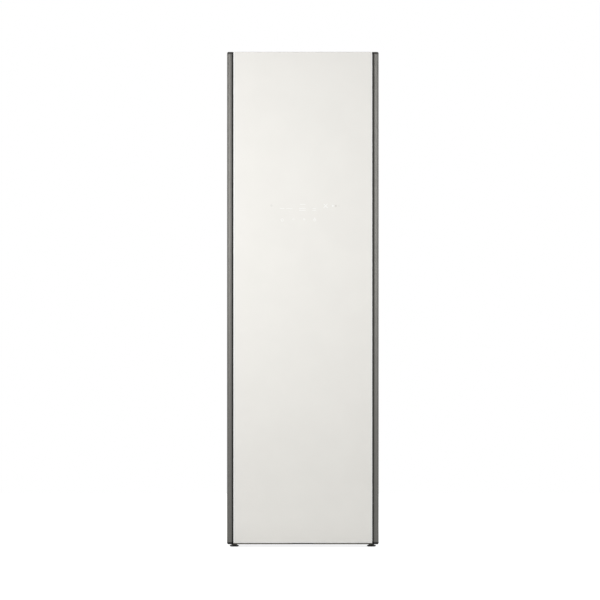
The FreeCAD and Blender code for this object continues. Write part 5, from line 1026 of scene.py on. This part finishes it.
# %% Sew both pads
SEAM_INSET = 13.5
cords = []
rows = []
for x0, x1 in PAD_SIDES.values():
    cords.append(piping(x0 + PIPING_RADIUS, x1 - PIPING_RADIUS,
                        PAD_LOW + PIPING_RADIUS, PAD_HIGH - PIPING_RADIUS))
    seam_x = (x0 + SEAM_INSET, x1 - SEAM_INSET)
    seam_z = (PAD_LOW + SEAM_INSET, PAD_HIGH - SEAM_INSET)
    rows += [stitch_row(x, sum(seam_z) / 2, seam_z[1] - seam_z[0], Z) for x in seam_x]
    rows += [stitch_row(sum(seam_x) / 2, z, seam_x[1] - seam_x[0], X) for z in seam_z]
fit(join("pad_piping", cords), "pad_cord", "trouser_press", slot="press_pad")
stitches = join("pad_stitches", rows)
fit(stitches, "pad_thread", "trouser_press", slot="press_pad")
print("stitch faces:", len(stitches.data.polygons))

# %% [markdown]
# The face of the board that is seen when the door opens has a raised frame, which keeps a large
# moulding flat. Three shallow ribs cross it. They are drawn up from the board's face, because the
# board itself is a CAD node, which keeps its mesh.

# %% Frame and ribs of the board
BOARD_FACE = -218
board_parts = [moulded_ring("board_frame", -132, 132, 880, 1530, BOARD_FACE, 1, 12, 0.2,
                            [(1.2, 0.8)], (4, 0.1))]
for z in (1042, 1205, 1368):
    rib = block("rib", -112, 112, BOARD_FACE - 0.2, BOARD_FACE + 1, z - 3, z + 3)
    bevel(rib, along(Y), 2.9, 5)
    board_parts.append(bevel(rib, lambda p, d: p.y > BOARD_FACE + 0.9, 0.7, 3))
board_frame = smooth(join("board_frame", board_parts))
fit(board_frame, "press_board", "trouser_press")
print("board frame faces:", len(board_frame.data.polygons))

# %% [markdown]
# ## Grips of the tanks and their filler caps
# The bail of a tank has a flat grip in its middle, and the filler cap a ring of finger ribs.
# The grip is a bar cut into short lengths, of which four are pressed in for the fingers.

# %% Grips and caps
TANK_X = 174
CAP_Y = -145
GRIP_CUTS = (-18, -14, -6, -2, 2, 6, 14, 18)
CAP_OUTLINE = [(16.3, 386), (16.3, 390.6), (15.4, 391.4), (12, 391.4), (11.2, 390.9),
               (3, 390.9)]
TANKS = {"supply": -1, "drain": 1}


def between_cuts(p, n):
    """The top faces between the cuts at 2 and 6, and at 14 and 18."""
    from_middle = abs(abs(p.x) - TANK_X)
    return n.z > NEARLY and (2.5 < from_middle < 5.5 or 14.5 < from_middle < 17.5)


for name, sign in TANKS.items():
    x = sign * TANK_X
    grip = block(name + "_bail_grip", x - 30, x + 30, -191.5, -182.5, 386.4, 395)
    bevel(grip, along(X), 2.2, 4)
    slice_at(grip, X, [x + cut for cut in GRIP_CUTS])
    press_in(grip, between_cuts, 0.5, 0.7)
    fit(soften(grip, 0.2), "grey_plastic", name + "_tank_handle")
    cap = turned(name + "_cap_ribs", x, CAP_Y, CAP_OUTLINE, 60)
    press_in(cap, every_other(x, CAP_Y, 12), 0.2, 0.45)
    fit(soften(cap, 0.15, 1, 40), "dark_plastic", name + "_tank")
print("grips and caps:", 2 * len(TANKS))

# %% [markdown]
# The front of each tank is stiffened by a raised frame, and has ridges to read the level by, long
# and short in turn, as on a jug. A mirrored copy would turn the mesh inside out, so both sides are
# built from the same numbers with a sign.

# %% Frames and level ridges
TANK_FRONT = -221
TANK_INNER, TANK_OUTER = 99, 249
RIDGE_START = TANK_INNER + 12
RIDGE_LOW, RIDGE_PITCH = 190, 21

for name, sign in TANKS.items():
    parts = [moulded_ring("tank_frame", *side_span(sign, TANK_INNER, TANK_OUTER), 168, 362,
                          TANK_FRONT, -1, 9, 0.2, [(0.9, 0.6)], (1.6, 0.1))]
    for step in range(8):
        length = 22 if step % 2 else 12
        z = RIDGE_LOW + RIDGE_PITCH * step
        ridge = block("ridge", *side_span(sign, RIDGE_START, RIDGE_START + length),
                      TANK_FRONT - 0.8, TANK_FRONT + 0.2, z - 0.9, z + 0.9)
        bevel(ridge, along(Y), 0.8, 3)
        parts.append(bevel(ridge, lambda p, d: p.y < TANK_FRONT - 0.7, 0.35, 2))
    front = smooth(join(name + "_tank_front", parts))
    fit(front, "tank_plastic", name + "_tank")
    print(front.name, "faces:", len(front.data.polygons))

# %% [markdown]
# ## The lint filter's mesh
# Woven mesh lies over the four windows of the basket. A mask in the material could fake its holes,
# but a grid turned into wires has real ones.

# %% Filter mesh
WINDOW_WIDTH = 50
sheets = []
for y in (-145.25, -73):
    for x0 in (-55, 5):
        sheet = upright_sheet("mesh_sheet", x0, x0 + WINDOW_WIDTH, y, 212, 382, 18, 60)
        sheets.append(modify(sheet, "WIREFRAME", thickness=0.5 * MM, use_boundary=True))
fit(join("lint_mesh", sheets), "shelf_wire", "lint_filter", slot="grey_plastic")
print("mesh sheets:", len(sheets))

# %% [markdown]
# ## Floor, light and camera
# The cabinet stands on a pale floor in front of plain white. A stronger light would wash it out, so
# only rays from the camera, and those that glass and metal send on, find a white world. The floor
# glows for them too, a little less near the cabinet, where the soft shadow lies.


# %% Floor
def white_for_the_eye(tree):
    """One for rays that the camera sends, straight or by way of glass and metal, otherwise 0."""
    rays = node(tree, "LightPath")
    seen = math_node(tree, "MAXIMUM", rays.outputs["Is Camera Ray"], rays.outputs["Is Glossy Ray"])
    return math_node(tree, "MAXIMUM", seen, rays.outputs["Is Transmission Ray"])


FLOOR_SIZE = 16000
deselect()
bpy.ops.mesh.primitive_plane_add(size=1)
floor = name_new("studio_floor", FLOOR_SIZE, FLOOR_SIZE, 1000)
floor_finish = bpy.data.materials.new("floor_finish")
floor_finish.use_nodes = True
tree = floor_finish.node_tree
tone = blend_colours(tree, noise(tree, object_place(tree), 3.0), shade(188, 188, 186),
                     shade(194, 194, 192))
away = node(tree, "VectorMath", {0: object_place(tree)}, operation="LENGTH").outputs["Value"]
glow = spread(tree, away, 0.9, 2.6, 0.8, 1.0)
send(tree, tree.nodes["Principled BSDF"], Base_Color=tone, Roughness=0.9, Specular_IOR_Level=0.0,
     Emission_Color=(1, 1, 1, 1),
     Emission_Strength=math_node(tree, "MULTIPLY", white_for_the_eye(tree), glow))
floor.data.materials.append(floor_finish)
print("floor in metres:", FLOOR_SIZE * MM)

# %% World
AMBIENT = 0.35
world = bpy.data.worlds.new("studio")
bpy.context.scene.world = world
world.use_nodes = True
tree = world.node_tree
send(tree, tree.nodes["Background"], Color=(1, 1, 1, 1),
     Strength=spread(tree, white_for_the_eye(tree), 0.0, 1.0, AMBIENT, 1.0))
print("light from all sides:", AMBIENT)

# %% [markdown]
# A large soft lamp stands in front on the left at head height, so the door is brightest above its
# middle and falls off towards the floor. Weaker ones light it from the front right, from both sides
# and from behind.


# %% Lamps
def lamp(name, place, target, size, power, mirrored=True):
    data = bpy.data.lights.new(name, "AREA")
    data.shape = "RECTANGLE"
    data.size, data.size_y = size
    data.energy = power
    made = bpy.data.objects.new(name, data)
    bpy.context.scene.collection.objects.link(made)
    made.location = place
    way = Vector([t - p for t, p in zip(target, place)])
    made.rotation_euler = way.to_track_quat("-Z", "Y").to_euler()
    made.visible_camera = False
    made.visible_glossy = mirrored
    return made


lamp("key", (-1.0, -2.65, 1.63), (0, -0.3, 1.46), (1.2, 1.2), 45, mirrored=False)
lamp("fill", (2.2, -2.3, 1.55), (0, -0.3, 1.4), (1.2, 1.2), 9, mirrored=False)
lamp("left_side", (-3.0, -0.2, 1.7), (-0.3, 0.0, 1.2), (1.2, 1.6), 20)
lamp("right_side", (3.0, -0.2, 1.7), (0.3, 0.0, 1.2), (1.2, 1.6), 24)
lamp("back", (0.9, 3.0, 1.9), (0, 0.3, 1.1), (1.6, 1.6), 24, mirrored=False)
print("lamps:", len(bpy.data.lights))

# %% [markdown]
# Satin metal looks dull without something to mirror. Three more lamps give the extrusions their
# sheen, one close to the view's axis and one beyond each corner. Light linking keeps them off the
# glass, which would mirror them.

# %% Lamps for the extrusions alone
sheens = [lamp("extrusion_sheen", (-0.2, -3.2, 1.5), (0, -0.3, 1.4), (1.3, 1.3), 24),
          lamp("corner_sheen_left", (-1.5, -2.7, 1.4), (-0.3, -0.3, 1.3), (1.0, 1.0), 2),
          lamp("corner_sheen_right", (1.5, -2.7, 1.4), (0.3, -0.3, 1.3), (1.0, 1.0), 9)]
sheen_takers = bpy.data.collections.new("sheen_takers")
for side in ("left", "right"):
    sheen_takers.objects.link(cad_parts["door_side_trim_" + side])
for sheen in sheens:
    sheen.light_linking.receiver_collection = sheen_takers

# %% [markdown]
# The view is straight on from far away through a very long lens, which keeps upright edges parallel
# and lets the feet show below the door instead of hiding behind it.

# %% Camera
DISTANCE = 30.0
FRAME_WIDTH = 2.3736
SENSOR_WIDTH = 36.0
DOOR_FRONT = -0.298
CAMERA_X, CAMERA_HEIGHT = -0.0113, 0.9785
camera_data = bpy.data.cameras.new("camera")
camera_data.sensor_width = SENSOR_WIDTH
camera_data.lens = SENSOR_WIDTH * DISTANCE / FRAME_WIDTH
camera_data.clip_end = 3 * DISTANCE
camera = bpy.data.objects.new("camera", camera_data)
bpy.context.scene.collection.objects.link(camera)
camera.location = (CAMERA_X, DOOR_FRONT - DISTANCE, CAMERA_HEIGHT)
camera.rotation_euler = (math.radians(90), 0, 0)
bpy.context.scene.camera = camera
bpy.context.scene.view_settings.view_transform = "Standard"
print("lens in mm:", round(camera_data.lens, 1))
